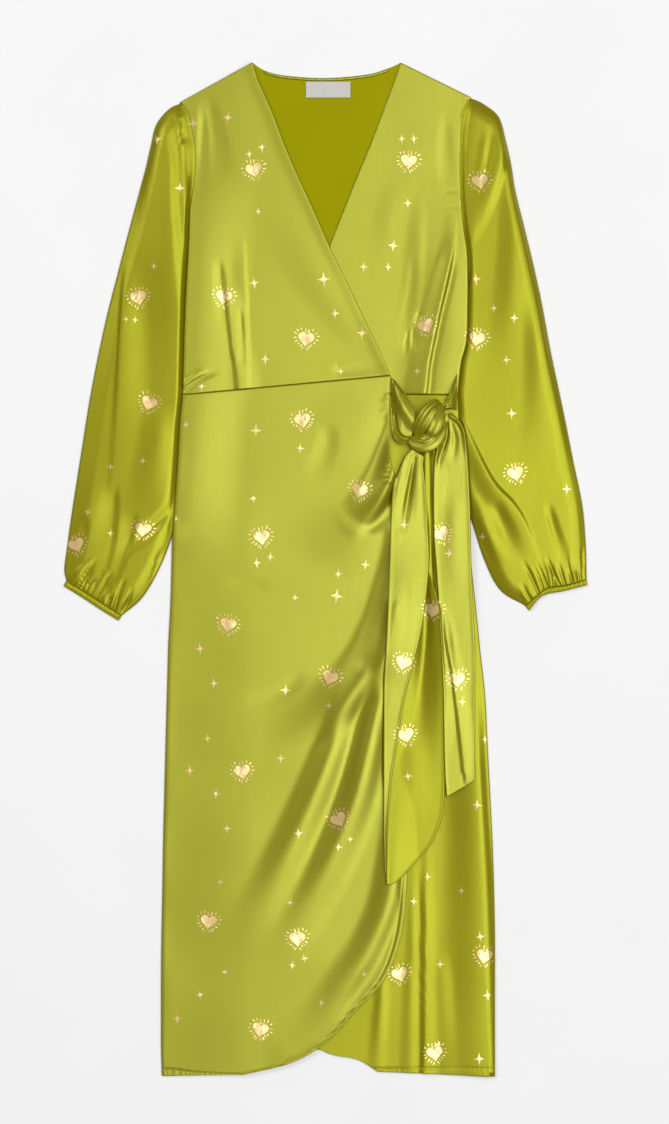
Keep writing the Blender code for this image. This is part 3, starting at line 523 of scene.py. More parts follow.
def nearest_on(route, spots):
    """Distance, signed side and share along the route of its nearest point to each spot."""
    route = np.asarray(route, float)
    path = along(route, np.linspace(0, len(route) - 1, 10 * (len(route) - 1) + 1))
    steps = np.diff(path, axis=0)
    sizes = np.linalg.norm(steps, axis=1)
    run = np.concatenate([[0.0], np.cumsum(sizes)])
    best, side, share = np.full(len(spots), np.inf), np.zeros(len(spots)), np.zeros(len(spots))
    for start, step, size, before in zip(path, steps, sizes, run):
        t = np.clip((spots - start) @ step / size**2, 0.0, 1.0)
        off = spots - start - t[:, None] * step
        away = np.linalg.norm(off, axis=1)
        closer = away < best
        best[closer] = away[closer]
        side[closer] = (step[0] * off[:, 1] - step[1] * off[:, 0])[closer]
        share[closer] = ((before + t * size) / run[-1])[closer]
    return best, side, share


# ---------------------------------------------------------------- folds and other relief


def folds(grid, table):
    """The height that the folds of a table add at each point of the grid."""
    total = np.zeros(grid.shape[:2])
    for height, left, right, start, end, route in table:
        reach = max(left, right) * (FOLD_NARROW + FOLD_SPREAD)
        low, high = np.min(route, axis=0) - reach, np.max(route, axis=0) + reach
        near = ((grid > low) & (grid < high)).all(axis=2)
        if not near.any():
            continue
        away, side, share = nearest_on(route, grid[near])
        wide = np.where(side > 0, right, left) * (FOLD_NARROW + FOLD_SPREAD * share)
        across = np.minimum(away / wide, 1.0)
        rise = start + (1 - start) * ease(share, 0, FOLD_RISE)
        fall = end + (1 - end) * ease(1 - share, 0, FOLD_FALL)
        total[near] += height * rise * fall * (0.5 + 0.5 * np.cos(math.pi * across))
    return total * cloth_values().fold_height


def swell(grid, seed, size, height, waves=7):
    """A soft unevenness, the same each time, of about the given size and height."""
    draw = np.random.default_rng(seed)
    total = np.zeros(grid.shape[:2])
    for _ in range(waves):
        turn = draw.uniform(0, 2 * math.pi)
        length = size * draw.uniform(0.7, 1.7)
        phase = draw.uniform(0, 2 * math.pi)
        run = grid[..., 0] * math.cos(turn) + grid[..., 1] * math.sin(turn)
        total += np.sin(run * 2 * math.pi / length + phase)
    return height * total / math.sqrt(waves)


def beyond_side(grid, bodice, skirt):
    """How far each point lies to the right of a side of the body."""
    edge = np.array(bodice[:-1] + skirt)[::-1]
    return grid[..., 0] - np.interp(grid[..., 1], edge[:, 1], edge[:, 0])


def side_lift(grid, wider=0.0):
    """How far the body's sides are lifted by the sleeves below them."""
    y = grid[..., 1]
    lift = np.zeros(y.shape)
    for bodice, skirt, (start, full, full_to, end) in (
        (RIGHT_SIDE, RIGHT_SKIRT_SIDE, RIGHT_LIFT),
        (LEFT_SIDE, LEFT_SKIRT_SIDE, LEFT_LIFT),
    ):
        inward = np.abs(beyond_side(grid, bodice, skirt))
        across = ease(inward, LIFT_END + wider, LIFT_FLAT)
        below = ease(y, start - wider, full + 1.5 * wider)
        above = ease(y, end, full_to - wider)
        lift += SIDE_LIFT * across * below * above
    return lift


def over_step(grid):
    """The over wrap's underside, above the back alone and then above the under wrap."""
    return UNDER_LEVEL + (OVER_LEVEL - UNDER_LEVEL) * ease(grid[..., 0], STEP_START, STEP_END)


def kept_above(height, floor, soft=0.5):
    """The height, eased so that it never comes below a floor."""
    gap = height - floor
    return floor + 0.5 * (gap + np.sqrt(gap**2 + soft**2))


def roll(distance, depth=BOUND[0], width=BOUND[1]):
    """How far a rolled edge dips, at a distance in from it."""
    return depth * (1.0 - quarter_round(distance, width))


def rolls(edges, *kinds):
    """The dips of the upper, lower, left and right edge together."""
    return sum(roll(distance, *kind) for distance, kind in zip(edges, kinds))


def hem(distance, run, seed, width=8.0, height=0.40, pucker=0.16, stitch=5.6):
    """A double-turned hem: a raised band with a stitched, puckered line at its inner side."""
    draw = np.random.default_rng(seed)
    wander = sum(
        draw.uniform(0.5, 1.0) * np.sin(run * 2 * math.pi / draw.uniform(18, 70) + draw.uniform(0, 6))
        for _ in range(4)
    )
    band = height * ease(distance, width + 0.8, width - 0.8)
    waves = np.sin(run * 2 * math.pi / stitch + 1.6 * wander) * (0.6 + 0.4 * np.sin(run / 23 + seed))
    puckers = pucker * waves * mound(distance, 0.75 * width, 0.55 * width)
    return band - 0.55 * mound(distance, width + 0.6, 1.0) + puckers


def neighbours(heights):
    """Each height and the four beside it."""
    padded = np.pad(heights, 1, mode="edge")
    beside = (padded[:-2, 1:-1], padded[2:, 1:-1], padded[1:-1, :-2], padded[1:-1, 2:])
    return (heights, *beside)


def draped(heights, reach, rounds):
    """The heights of a soft sheet that lies on these, bridging what is narrower than its reach."""
    for _ in range(reach):
        heights = np.maximum.reduce(neighbours(heights))
    for _ in range(rounds):
        heights = (heights + sum(neighbours(heights))) / 6
    return heights


# ---------------------------------------------------------------- meshes


def piece(name, vertices, faces, materials):
    """A mesh object in the dress's collection, from points in millimetres."""
    mesh = bpy.data.meshes.new(name)
    mesh.from_pydata((np.asarray(vertices, float).reshape(-1, 3) * UNIT).tolist(), [], faces)
    for material in materials:
        mesh.materials.append(material)
    mesh.shade_smooth()
    obj = bpy.data.objects.new(name, mesh)
    bpy.data.collections["wrap dress"].objects.link(obj)
    return obj


def grid_faces(rows, columns, closed=False):
    """Quads of a grid, wound so that they face up when rows run down and columns run right."""
    r, c = np.meshgrid(np.arange(rows - 1), np.arange(columns if closed else columns - 1), indexing="ij")
    right = (c + 1) % columns
    quads = np.stack([r * columns + c, (r + 1) * columns + c, (r + 1) * columns + right, r * columns + right])
    return quads.reshape(4, -1).T


def facing_up(surface, faces, test):
    """The faces, all turned over if the one that is tested faces down."""
    a, b, c = surface.reshape(-1, 3)[faces[test][:3]]
    return faces if np.cross(b - a, c - b)[2] > 0 else faces[:, ::-1]


def declare(obj, node):
    """Rides the piece on the dress, in its node's place, and hides the node's own part."""
    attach(obj, "root")
    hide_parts(node)


def thicken(obj, thickness):
    """Gives the sheet its thickness below its upper surface, with its last material there."""
    solidify = obj.modifiers.new("thickness", "SOLIDIFY")
    solidify.thickness = thickness
    solidify.offset = -1.0
    solidify.material_offset = len(obj.data.materials) - 1


def panel(node, grid, top, materials, kind="satin", thickness=None):
    """A sheet given by its upper surface, thickened downwards. Materials are its top and bottom."""
    surface = np.dstack([grid, top])
    faces = grid_faces(*grid.shape[:2])
    faces = facing_up(surface, faces, len(faces) // 2)
    obj = piece(f"{node}_{kind}", surface, faces.tolist(), materials)
    thicken(obj, thickness or cloth_values().thickness)
    declare(obj, node)


def tube(node, kind, ring, material):
    """A tube pressed flat, from rings of points, with the cloth's wrong side inside it."""
    rows, columns = ring.shape[:2]
    faces = grid_faces(rows, columns, closed=True)
    faces = facing_up(ring, faces, len(faces) // 2 // columns * columns + 8)
    obj = piece(f"{node}_{kind}", ring, faces.tolist(), [material, inside()])
    thicken(obj, 0.4 * UNIT)
    declare(obj, node)


def tree_of(name):
    """A search tree over the upper surface of the named piece."""
    mesh = bpy.data.objects[name].data
    return BVHTree.FromPolygons([v.co for v in mesh.vertices], [p.vertices[:] for p in mesh.polygons])


def height_at(tree, spot):
    """The height of a surface at a spot, in millimetres, or None beside it."""
    hit = tree.ray_cast(Vector((spot[0] * UNIT, spot[1] * UNIT, LOOK_FROM)), Vector((0, 0, -1)))[0]
    return None if hit is None else hit.z / UNIT


def height_of(nodes, grid, floor=0.0):
    """The highest of the nodes' surfaces at each point of the grid, in millimetres."""
    trees = [tree_of(f"{node}_satin") for node in nodes]
    heights = np.full(grid.shape[:2], floor)
    for index in np.ndindex(*grid.shape[:2]):
        found = [height_at(tree, grid[index]) for tree in trees]
        heights[index] = max([floor] + [height for height in found if height is not None])
    return heights


# ---------------------------------------------------------------- materials

EVEN = (1, 1, 1)
SHADE, RELIEF = 0, 1


def noise(material, scale, stretch, detail):
    """Noise in the dress's own coordinates, stretched along an axis."""
    nodes, links = material.node_tree.nodes, material.node_tree.links
    place = nodes.new("ShaderNodeTexCoord")
    mapping = nodes.new("ShaderNodeMapping")
    made = nodes.new("ShaderNodeTexNoise")
    mapping.inputs["Scale"].default_value = stretch
    made.inputs["Scale"].default_value = scale
    made.inputs["Detail"].default_value = detail
    links.new(place.outputs["Object"], mapping.inputs["Vector"])
    links.new(mapping.outputs["Vector"], made.inputs["Vector"])
    return made.outputs["Fac"]


def ranged(material, value, low, high):
    """The noise spread over a range."""
    spread = material.node_tree.nodes.new("ShaderNodeMapRange")
    for key, amount in zip(("From Min", "From Max", "To Min", "To Max"), (0.3, 0.7, low, high)):
        spread.inputs[key].default_value = amount
    material.node_tree.links.new(value, spread.inputs["Value"])
    return spread.outputs["Result"]


def finish(name, first, second, most, shade, relief=None, bump=None, rough=None, **inputs):
    """A material, made the first time it is asked for. A noise, the shade, blends its first colour
    towards its second, by as much as most says. A second noise or the same one gives its relief,
    with the bump's strength and distance, and one of the two may range its roughness."""
    if name in bpy.data.materials:
        return bpy.data.materials[name]
    material = bpy.data.materials.new(name)
    material.use_nodes = True
    nodes, links = material.node_tree.nodes, material.node_tree.links
    shader = nodes["Principled BSDF"]
    shader.inputs["Base Color"].default_value = first
    for key, value in inputs.items():
        shader.inputs[key.replace("_", " ")].default_value = value
    noises = [noise(material, *shade)]
    noises.append(noise(material, *relief) if relief else noises[SHADE])
    mix = nodes.new("ShaderNodeMix")
    mix.data_type = "RGBA"
    mix.inputs["A"].default_value = first
    mix.inputs["B"].default_value = second
    links.new(ranged(material, noises[SHADE], 0.0, most), mix.inputs["Factor"])
    links.new(mix.outputs["Result"], shader.inputs["Base Color"])
    if rough:
        links.new(ranged(material, noises[rough[0]], *rough[1:]), shader.inputs["Roughness"])
    if bump:
        raised = nodes.new("ShaderNodeBump")
        raised.inputs["Strength"].default_value = bump[0]
        raised.inputs["Distance"].default_value = bump[1]
        links.new(noises[RELIEF], raised.inputs["Height"])
        links.new(raised.outputs["Normal"], shader.inputs["Normal"])
    return material


def deeper(value, share):
    return (*(share * c for c in value[:3]), 1.0)


def satin(name, gloss):
    """Glossy polyester satin: floats that run down the dress, and a sheen in its own colour."""
    values = cloth_values()
    return finish(
        name, values.satin, values.deep, 0.5, (9.0, (1, 0.5, 1), 3.0), relief=(900.0, (1, 0.04, 1), 1.0),
        bump=(0.10, 0.0001), rough=(RELIEF, 0.35, 0.40), IOR=2.42, Specular_Tint=gloss,
    )


def right_side():
    return satin("lime satin", cloth_values().gloss)


def cross_grain():
    return satin("lime satin, cross grain", cloth_values().cross_gloss)


def inside():
    shown = cloth_values().wrong_side
    return finish(
        "lime satin, wrong side", shown, deeper(shown, 0.93), 1.0, (7.0, EVEN, 2.0),
        relief=(500.0, EVEN, 1.0), bump=(0.15, 0.0002), Roughness=0.6, Specular_IOR_Level=0.02,
    )


def gathered():
    values = cloth_values()
    return finish(
        "gathered satin", values.satin, values.casing, 0.6, (260.0, EVEN, 2.0), bump=(0.3, 0.0006),
        Roughness=0.42, IOR=2.2, Specular_Tint=values.cross_gloss,
    )


def woven():
    shown = cloth_values().label
    return finish(
        "woven label", shown, deeper(shown, 0.9), 1.0, (700.0, (1, 0.15, 1), 1.0), bump=(0.3, 0.0003),
        Roughness=0.7, Specular_IOR_Level=0.3,
    )


def rose_gold():
    values = cloth_values()
    return finish(
        "rose gold foil", values.foil, values.worn_foil, 0.8, (160.0, EVEN, 3.0),
        relief=(75.0, EVEN, 2.0), bump=(0.5, 0.0016), rough=(SHADE, 0.14, 0.34), Metallic=0.42,
    )


# ---------------------------------------------------------------- body


class DRESS_OT_back(bpy.types.Operator):
    """The back bodice and the back skirt, right side down"""

    bl_idname = "dress.back"
    bl_label = "Back"

    def execute(self, context):
        grid, stations = ruled(RIGHT_SIDE, LEFT_SIDE, cell(2.0))
        columns = grid.shape[1]
        shoulder = round(columns * SHOULDER_SHARE)
        neck = along(BACK_NECK, np.linspace(0, len(BACK_NECK) - 1, columns - 2 * shoulder + 2))
        right_shoulder = np.linspace(RIGHT_SIDE[0], BACK_NECK[0], shoulder)[:-1]
        left_shoulder = np.linspace(BACK_NECK[-1], LEFT_SIDE[0], shoulder)[1:]
        top_edge = np.concatenate([right_shoulder, neck, left_shoulder])
        fade = np.clip(1 - stations / NECK_ROWS, 0, 1)[:, None, None] ** 1.5
        grid = grid + (top_edge - grid[:1]) * fade
        upper, _, left, right = edges_of(grid)
        self.lay("back_bodice", grid, BACK_BODICE_FOLDS, (left, right, upper))

        grid, _ = ruled(RIGHT_SKIRT_SIDE, LEFT_SKIRT_SIDE, cell(3.0))
        across = np.linspace(0, 1, grid.shape[1])
        down = np.linspace(0, 1, grid.shape[0])[:, None]
        rise = BACK_HEM_TUCK + BACK_HEM_RISE * 4 * across * (1 - across)
        grid[..., 1] += rise * ease(down, 0.75, 1.0)
        _, lower, left, right = edges_of(grid)
        self.lay("back_skirt", grid, BACK_SKIRT_FOLDS, (left, right, lower))
        return {"FINISHED"}

    def lay(self, node, grid, table, edges):
        top = WALL + side_lift(grid) + folds(grid, table) - roll(np.minimum.reduce(edges), BACK_ROLL)
        panel(node, grid, top, [inside(), right_side()])


class DRESS_OT_under_front(bpy.types.Operator):
    """The wearer's left front, which lies under the other"""

    bl_idname = "dress.under_front"
    bl_label = "Under wrap"

    def execute(self, context):
        grid, _ = ruled(UNDER_NECK_EDGE, LEFT_SIDE, cell())
        seen = 0.08 + 0.92 * ease(grid[..., 0], 40, 80)
        relief = (folds(grid, UNDER_BODICE_FOLDS) + swell(grid, 3, 110, 0.16)) * seen
        top = self.lifted(grid, relief) - rolls(edges_of(grid), TURNED, SEAM, BOUND, SIDE)
        panel("under_front_bodice", grid, top, [right_side(), inside()])

        ends = (EDGE_POINTS, HEM_POINTS)
        grid, _ = ruled(UNDER_SKIRT_EDGE, LEFT_SKIRT_SIDE, cell(1.35), cell(1.6), ends=ends)
        x, y = grid[..., 0], grid[..., 1]
        seen = ease(x, 88, 110) * ease(x, 20, 50)
        seen = np.maximum(seen, ease(y, -430, -490) * ease(x, -20, 40))
        relief = (folds(grid, UNDER_SKIRT_FOLDS) + swell(grid, 5, 120, 0.2)) * (0.06 + 0.94 * seen)
        relief += 0.10 * folds(grid, OVER_SKIRT_FOLDS).clip(0) * ease(x, 90, 40)
        edges = edges_of(grid)
        top = self.lifted(grid, relief) - rolls(edges, SEAM, TURNED, BOUND, SIDE)
        top += hem(edges[1], x, 11)
        panel("under_front_skirt", grid, top, [cross_grain(), inside()])
        return {"FINISHED"}

    def lifted(self, grid, relief):
        top = UNDER_LEVEL + WALL + side_lift(grid, LIFT_SLACK) + relief
        return kept_above(top, WALL + side_lift(grid) + CLEARANCE)


class DRESS_OT_over_front(bpy.types.Operator):
    """The wearer's right front, which wraps over the other"""

    bl_idname = "dress.over_front"
    bl_label = "Over wrap"

    def execute(self, context):
        grid, _ = ruled(RIGHT_SIDE, OVER_NECK_EDGE, cell(), cell(0.9))
        edges = edges_of(grid)
        relief = folds(grid, OVER_BODICE_FOLDS) + swell(grid, 1, 120, 0.16) + 0.8 * mound(edges[3], 0, 9)
        below = ["under_front_bodice", "back_bodice"]
        top = self.lifted(grid, relief, below) - rolls(edges, TURNED, SEAM, SIDE, BOUND)
        panel("over_front_bodice", grid, top, [right_side(), inside()])

        ends = (EDGE_POINTS, HEM_POINTS)
        grid, _ = ruled(RIGHT_SKIRT_SIDE, OVER_SKIRT_EDGE, cell(), cell(1.65), ends=ends, sides=ends)
        x, y = grid[..., 0], grid[..., 1]
        edges = edges_of(grid)
        _, lower, left, right = edges
        drags = []
        for height, reach in DRAG_LINES:
            route = ((82, height), (78 - reach / 2, height - 1), (78 - reach, height - 4))
            drags.append((1.1, 2.6, 2.8, 0.9, 0.0, route))
        relief = folds(grid, OVER_SKIRT_FOLDS) * ease(x, 96, 84) + folds(grid, drags)
        relief = (relief + swell(grid, 2, 140, 0.22)) * ease(left, -2.4, 13.6)
        below = ["under_front_skirt", "back_skirt"]
        top = self.lifted(grid, relief, below) - rolls(edges, SEAM, TURNED, SIDE, TURNED)
        low = ease(y, -330, -390)
        top += hem(right, y - 0.6 * x, 7, width=6.0, height=0.5, pucker=0.42) * low
        top += hem(lower, x, 8) * ease(right, 8, 18)
        top += 1.2 * mound(right, 0, 14) * low
        panel("over_front_skirt", grid, top, [right_side(), inside()])
        return {"FINISHED"}

    def lifted(self, grid, relief, below):
        top = over_step(grid) + WALL + side_lift(grid, LIFT_SLACK) + relief
        return kept_above(top, draped(height_of(below, grid), 1, 1) + CLEARANCE, 0.3)


# ---------------------------------------------------------------- sleeves and cuffs


def cuff_gathers(end, inward, seed, longest):
    """Pleats that fan up from a cuff, uneven in length, height and spacing."""
    draw = np.random.default_rng(seed)
    inward = np.array(inward)
    side = np.array([inward[1], -inward[0]])
    pleats = []
    count = 13
    for share in (np.arange(count) + 0.5) / count:
        share += draw.uniform(-0.03, 0.03)
        foot = along(end, [share * (len(end) - 1)])[0]
        length = draw.uniform(16, longest)
        lean = (0.5 - share) * 0.6 + draw.uniform(-0.15, 0.15)
        top = foot + (inward + side * lean * 0.6) * length
        middle = (foot + top) / 2 + side * draw.uniform(-2.5, 2.5)
        height = draw.uniform(1.3, 2.5) * (-1 if draw.uniform() < 0.85 else 0.5)
        width = draw.uniform(1.7, 3.0)
        pleats.append((height, width * 1.3, width * 0.7, 1.0, 0.0, (foot, middle, top)))
    return tuple(pleats)


def sleeve_piece(node, outer_edge, inner_edge, armhole, end, table, body):
    """A sleeve pressed flat: its top layer with its folds, and a plain layer below it."""
    grid, stations = ruled(outer_edge, inner_edge, cell(1.15))
    side = math.copysign(1.0, end[0][0])
    columns = grid.shape[1]
    seam = along(armhole, even_stations(armhole, columns))
    last = along(end, even_stations(end, columns))
    rows = len(outer_edge) - 1
    top_fade = (1 - stations / SEAM_ROWS).clip(0)[:, None, None] ** 2
    end_fade = (1 - (rows - stations) / SEAM_ROWS).clip(0)[:, None, None] ** 2
    grid = grid + (seam - grid[:1]) * top_fade + (last - grid[-1:]) * end_fade

    upper, _, _, inner = edges_of(grid)
    at_body = np.maximum(ease(grid[..., 1], 330, 370) * ease(inner, 14, 4), ease(upper, 9, 1))
    grid[..., 0] -= side * 3.2 * at_body
    beyond = side * beyond_side(grid, *body)
    free = np.maximum(ease(beyond, -1, 6), ease(grid[..., 1], 30, -30))
    upper, lower, outer, inner = edges_of(grid)
    puff = ease(outer, -2.88, 21.12) * ease(inner, -2.4, 17.6)
    puff *= 0.3 + 0.7 * quarter_round(upper, 30)
    puff *= 0.55 + 0.45 * quarter_round(lower, 36)
    relief = (folds(grid, table) + swell(grid, len(table), 90, 0.2)) * ease(inner, 0, 8)
    relief *= ease(outer, 0, 9) * ease(upper, -1.8, 10.2)
    edge_top, low, crest = 1.5, 2.9, 6.4
    top = edge_top + (low - edge_top) * quarter_round(outer, 2.6) * quarter_round(inner, 2.6)
    top += ((crest - low) * puff + relief) * free
    top = top.clip(1.4)

    coarse = np.unique(np.append(np.arange(0, columns, 3), columns - 1))[1:-1][::-1]
    floor = 0.05 + 1.4 * (1 - quarter_round(np.minimum(outer, inner), 3))
    ring = np.concatenate([np.dstack([grid, top]), np.dstack([grid, floor])[:, coarse]], axis=1)
    tube(node, "satin", ring, cross_grain())


def casing_piece(node, end, edge, seed):
    """The narrow elastic casing, puckered all along."""
    start, last = np.array(end, float), np.array(edge, float)
    places = even_stations(end, 150)
    draw = np.random.default_rng(seed)
    run = np.linspace(0, 1, len(places))
    wander = sum(0.5 * np.sin(run * draw.uniform(12, 60) + draw.uniform(0, 6)) for _ in range(5))
    rows, heights = [], []
    for t in np.linspace(0, 1, 9):
        rows.append(along(start * (1 - t) + last * t, places))
        pinch = 1 - abs(2 * t - 1) ** 3
        puckers = 0.55 * np.sin(run * 2 * math.pi * 27 + 2.2 * wander) * (0.4 + 0.6 * (1 - pinch))
        heights.append(3.5 + 0.9 * pinch + puckers)
    grid = np.array(rows)
    rounding = quarter_round(np.minimum(*edges_of(grid)[2:]), 3.0)
    top = 1.5 + (np.array(heights) - 1.5) * rounding
    bottom = 0.1 + 1.3 * (1 - rounding)
    ring = np.concatenate([np.dstack([grid, top]), np.dstack([grid, bottom])[:, ::-1]], axis=1)
    tube(node, "casing", ring, gathered())


class DRESS_OT_sleeves(bpy.types.Operator):
    """The two full sleeves, pressed flat, and their gathered cuffs"""

    bl_idname = "dress.sleeves"
    bl_label = "Sleeves"

    def execute(self, context):
        pleats = cuff_gathers(RIGHT_SLEEVE_END, (0.52, 0.85), 21, 50)
        sleeve_piece(
            "right_sleeve", RIGHT_SLEEVE_OUTER, RIGHT_SLEEVE_INNER, RIGHT_SIDE[:7], RIGHT_SLEEVE_END,
            RIGHT_SLEEVE_FOLDS + pleats, (RIGHT_SIDE, RIGHT_SKIRT_SIDE),
        )
        pleats = cuff_gathers(LEFT_SLEEVE_END, (-0.33035, 0.943858), 22, 48)
        sleeve_piece(
            "left_sleeve", LEFT_SLEEVE_OUTER, LEFT_SLEEVE_INNER, LEFT_SIDE[:8], LEFT_SLEEVE_END,
            LEFT_SLEEVE_FOLDS + pleats, (LEFT_SIDE, LEFT_SKIRT_SIDE),
        )
        casing_piece("right_cuff", RIGHT_SLEEVE_END, RIGHT_CUFF_EDGE, 31)
        casing_piece("left_cuff", LEFT_SLEEVE_END, LEFT_CUFF_EDGE, 32)
        return {"FINISHED"}


# ---------------------------------------------------------------- neck


class DRESS_OT_neck(bpy.types.Operator):
    """The facing strip inside the back neck, and the bare label sewn to it"""

    bl_idname = "dress.neck"
    bl_label = "Neck facing and label"

    def execute(self, context):
        upper = along(BACK_NECK, even_stations(BACK_NECK, 90))[8:-8] + np.array([0, -0.3])
        shares = np.linspace(0, 1, 9)
        grid = np.array([upper + np.array([0, -FACING_WIDTH * share]) for share in shares])
        bulge = np.sqrt(1 - (2 * shares[:, None] - 1) ** 2)
        top = 1.9 + bulge + 0.08 * np.sin(grid[..., 0] / 1.9)
        panel(
            "neck_facing", grid, top, [right_side()],
        )

        low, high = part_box("label")
        xs = np.linspace(low.x, high.x, 60) / UNIT
        ys = np.linspace(high.y, low.y, 24) / UNIT
        grid = np.dstack(np.meshgrid(xs, ys))
        down = (ys[0] - grid[..., 1]) / LABEL_HEIGHT
        sides = np.minimum(*edges_of(grid)[2:])
        top = 2.3 + 0.5 * down + 0.12 * np.sin(grid[..., 0] / 9) * down - roll(sides, 0.3, 1.0)
        top += 0.25 * mound(sides, 1.2, 0.7) * np.sin(grid[..., 1] * 3.4)
        panel(
            "label", grid, top, [woven()], kind="weave", thickness=0.5 * UNIT
        )
        return {"FINISHED"}


# ---------------------------------------------------------------- tie


def fan_piece(node, top_edge, low_edge, table, low, high, rests_on):
    """The gathered stretch of a tie between its seam and the knot, from a low level to a high one."""
    grid, _ = ruled(top_edge, low_edge, cell(0.35), cell(0.4))
    levels = low + (high - low) * ease(1.9 * np.linspace(0, 1, grid.shape[0]), 0, 1)[:, None]
    upper, _, left, right = edges_of(grid)
    top = kept_above(levels + folds(grid, table), draped(height_of(rests_on, grid), 3, 20) + 1.3)
    top -= roll(np.minimum(left, right), 1.6, 2.0) + roll(upper, 1.2, 2.0)
    panel(node, grid, top, [right_side()] * 2)


def tail_piece(node, left, right, table, material, rests_on, level, at_knot, climb, seed):
    """A stretch of the tie that lies on the skirt and climbs to the knot at its top."""
    grid, _ = ruled(left, right, cell(), cell(0.9))
    below = ["over_front_skirt", "under_front_skirt"]
    if "front_tail_turn" in rests_on:
        below.append("front_tail_turn")
    heights = height_of(below, grid, UNDER_LEVEL + WALL)
    laid = np.maximum(draped(heights, 8, 220) + 1.7, level)
    upper, lower, left, right = edges_of(grid)
    rise = ease(upper, climb, 0) if climb else 0.0
    top = laid * (1 - rise) + at_knot * rise + folds(grid, table) + swell(grid, seed, 70, 0.15)
    sides = np.minimum(left, right)
    top += 0.35 * mound(sides, 1.3, 1.3)
    top = kept_above(top, draped(heights, 1, 2) + TAIL_CLEARANCE)
    top -= roll(sides, 0.8, 1.2) + roll(lower, 0.8, 1.2)
    panel(node, grid, top, [material] * 2)


def wound_band(name, route, widths, depths, ripples, seed):
    """A soft gathered band wound round the knot: rings along a route, wavy on their outside."""
    route = np.asarray(route, float)
    path = along(route, even_stations(route, 64))
    ways = np.gradient(path, axis=0)
    ways /= np.linalg.norm(ways, axis=1)[:, None]
    across = np.cross(ways, (0, 0, 1))
    across /= np.linalg.norm(across, axis=1)[:, None]
    up = np.cross(across, ways)
    share = np.linspace(0, 1, len(path))
    half = np.interp(share, np.linspace(0, 1, len(widths)), widths) / 2
    depth = np.interp(share, np.linspace(0, 1, len(depths)), depths) / 2
    taper = quarter_round(np.minimum(share, 1 - share), 0.10) * 0.8 + 0.2
    turn = np.linspace(0, 2 * math.pi, 72, endpoint=False)
    draw = np.random.default_rng(seed)
    lean = 0.9 * (share - 0.5)[:, None] + draw.uniform(0, 6)
    wave = np.zeros((len(path), len(turn)))
    for pleats, weight in ripples:
        wave += weight * np.sin(pleats * turn[None, :] + lean * 1.6 + draw.uniform(0, 6))
    swing = wave * np.clip(0.35 + np.sin(turn), 0, 1)[None, :]
    out = (1 + swing / depth[:, None].clip(3)) * taper[:, None]
    ring = path[:, None, :] + across[:, None, :] * (half[:, None] * np.cos(turn) * out)[..., None]
    ring = ring + up[:, None, :] * (depth[:, None] * np.sin(turn) * out)[..., None]
    rows, around = ring.shape[:2]
    faces = grid_faces(rows, around, closed=True).tolist()
    faces += [list(range(around))[::-1], list(range((rows - 1) * around, rows * around))]
    obj = piece(name, ring, faces, [right_side()])
    declare(obj, "knot")


class DRESS_OT_tie(bpy.types.Operator):
    """The two ties, from their seams to the knot and down to their ends"""

    bl_idname = "dress.tie"
    bl_label = "Tie"

    def execute(self, context):
        fan_piece(
            "front_tie_fan", FRONT_FAN_TOP, FRONT_FAN_LOW, FRONT_FAN_FOLDS, 6.8, 14.0,
            ["over_front_skirt", "over_front_bodice"],
        )
        fan_piece(
            "side_tie_fan", SIDE_FAN_TOP, SIDE_FAN_LOW, SIDE_FAN_FOLDS, 9.6, 14.0,
            ["under_front_skirt", "under_front_bodice"],
        )
        for name, *shape in KNOT_TURNS:
            wound_band(f"knot_{name}_turn", *shape)
        tail_piece(
            "front_tail_turn", TAIL_TURN_LEFT, TAIL_TURN_RIGHT, TAIL_TURN_FOLDS, cross_grain(),
            ["over_front_skirt", "under_front_skirt"], level=7.6, at_knot=7.6, climb=0, seed=41,
        )
        tail_piece(
            "front_tail", FRONT_TAIL_LEFT, FRONT_TAIL_RIGHT, FRONT_TAIL_FOLDS, right_side(),
            ["front_tail_turn", "over_front_skirt"], level=9.8, at_knot=13.5, climb=80, seed=42,
        )
        tail_piece(
            "side_tail", SIDE_TAIL_LEFT, SIDE_TAIL_RIGHT, SIDE_TAIL_FOLDS, right_side(),
            ["under_front_skirt", "front_tail_turn"], level=10.4, at_knot=14.0, climb=90, seed=43,
        )
        return {"FINISHED"}


# ---------------------------------------------------------------- foil print


def heart_outline(count):
    t = np.linspace(0, 2 * math.pi, count, endpoint=False)
    x = 16 * np.sin(t) ** 3
    y = 13 * np.cos(t) - 5 * np.cos(2 * t) - 2 * np.cos(3 * t) - np.cos(4 * t)
    return np.column_stack([x, y + 2.5]) * HEART_SIZE / 16


def ringed(outline, rings):
    """A filled shape as rings that shrink towards its middle."""
    points = np.concatenate([outline * share for share in np.linspace(1, 0.06, rings)])
    faces = grid_faces(rings, len(outline), closed=True).tolist()
    faces.append(list(range((rings - 1) * len(outline), rings * len(outline)))[::-1])
    return points, faces


def star_motif(size):
    """A four-pointed star with hollow sides."""
    t = np.linspace(0, 2 * math.pi, STAR_POINTS, endpoint=False)
    reach = (np.abs(np.cos(t)) ** STAR_CURVE + np.abs(np.sin(t)) ** STAR_CURVE) ** (-1 / STAR_CURVE)
    return ringed(np.column_stack([np.cos(t) * 0.84, np.sin(t)]) * reach[:, None] * size, 4)


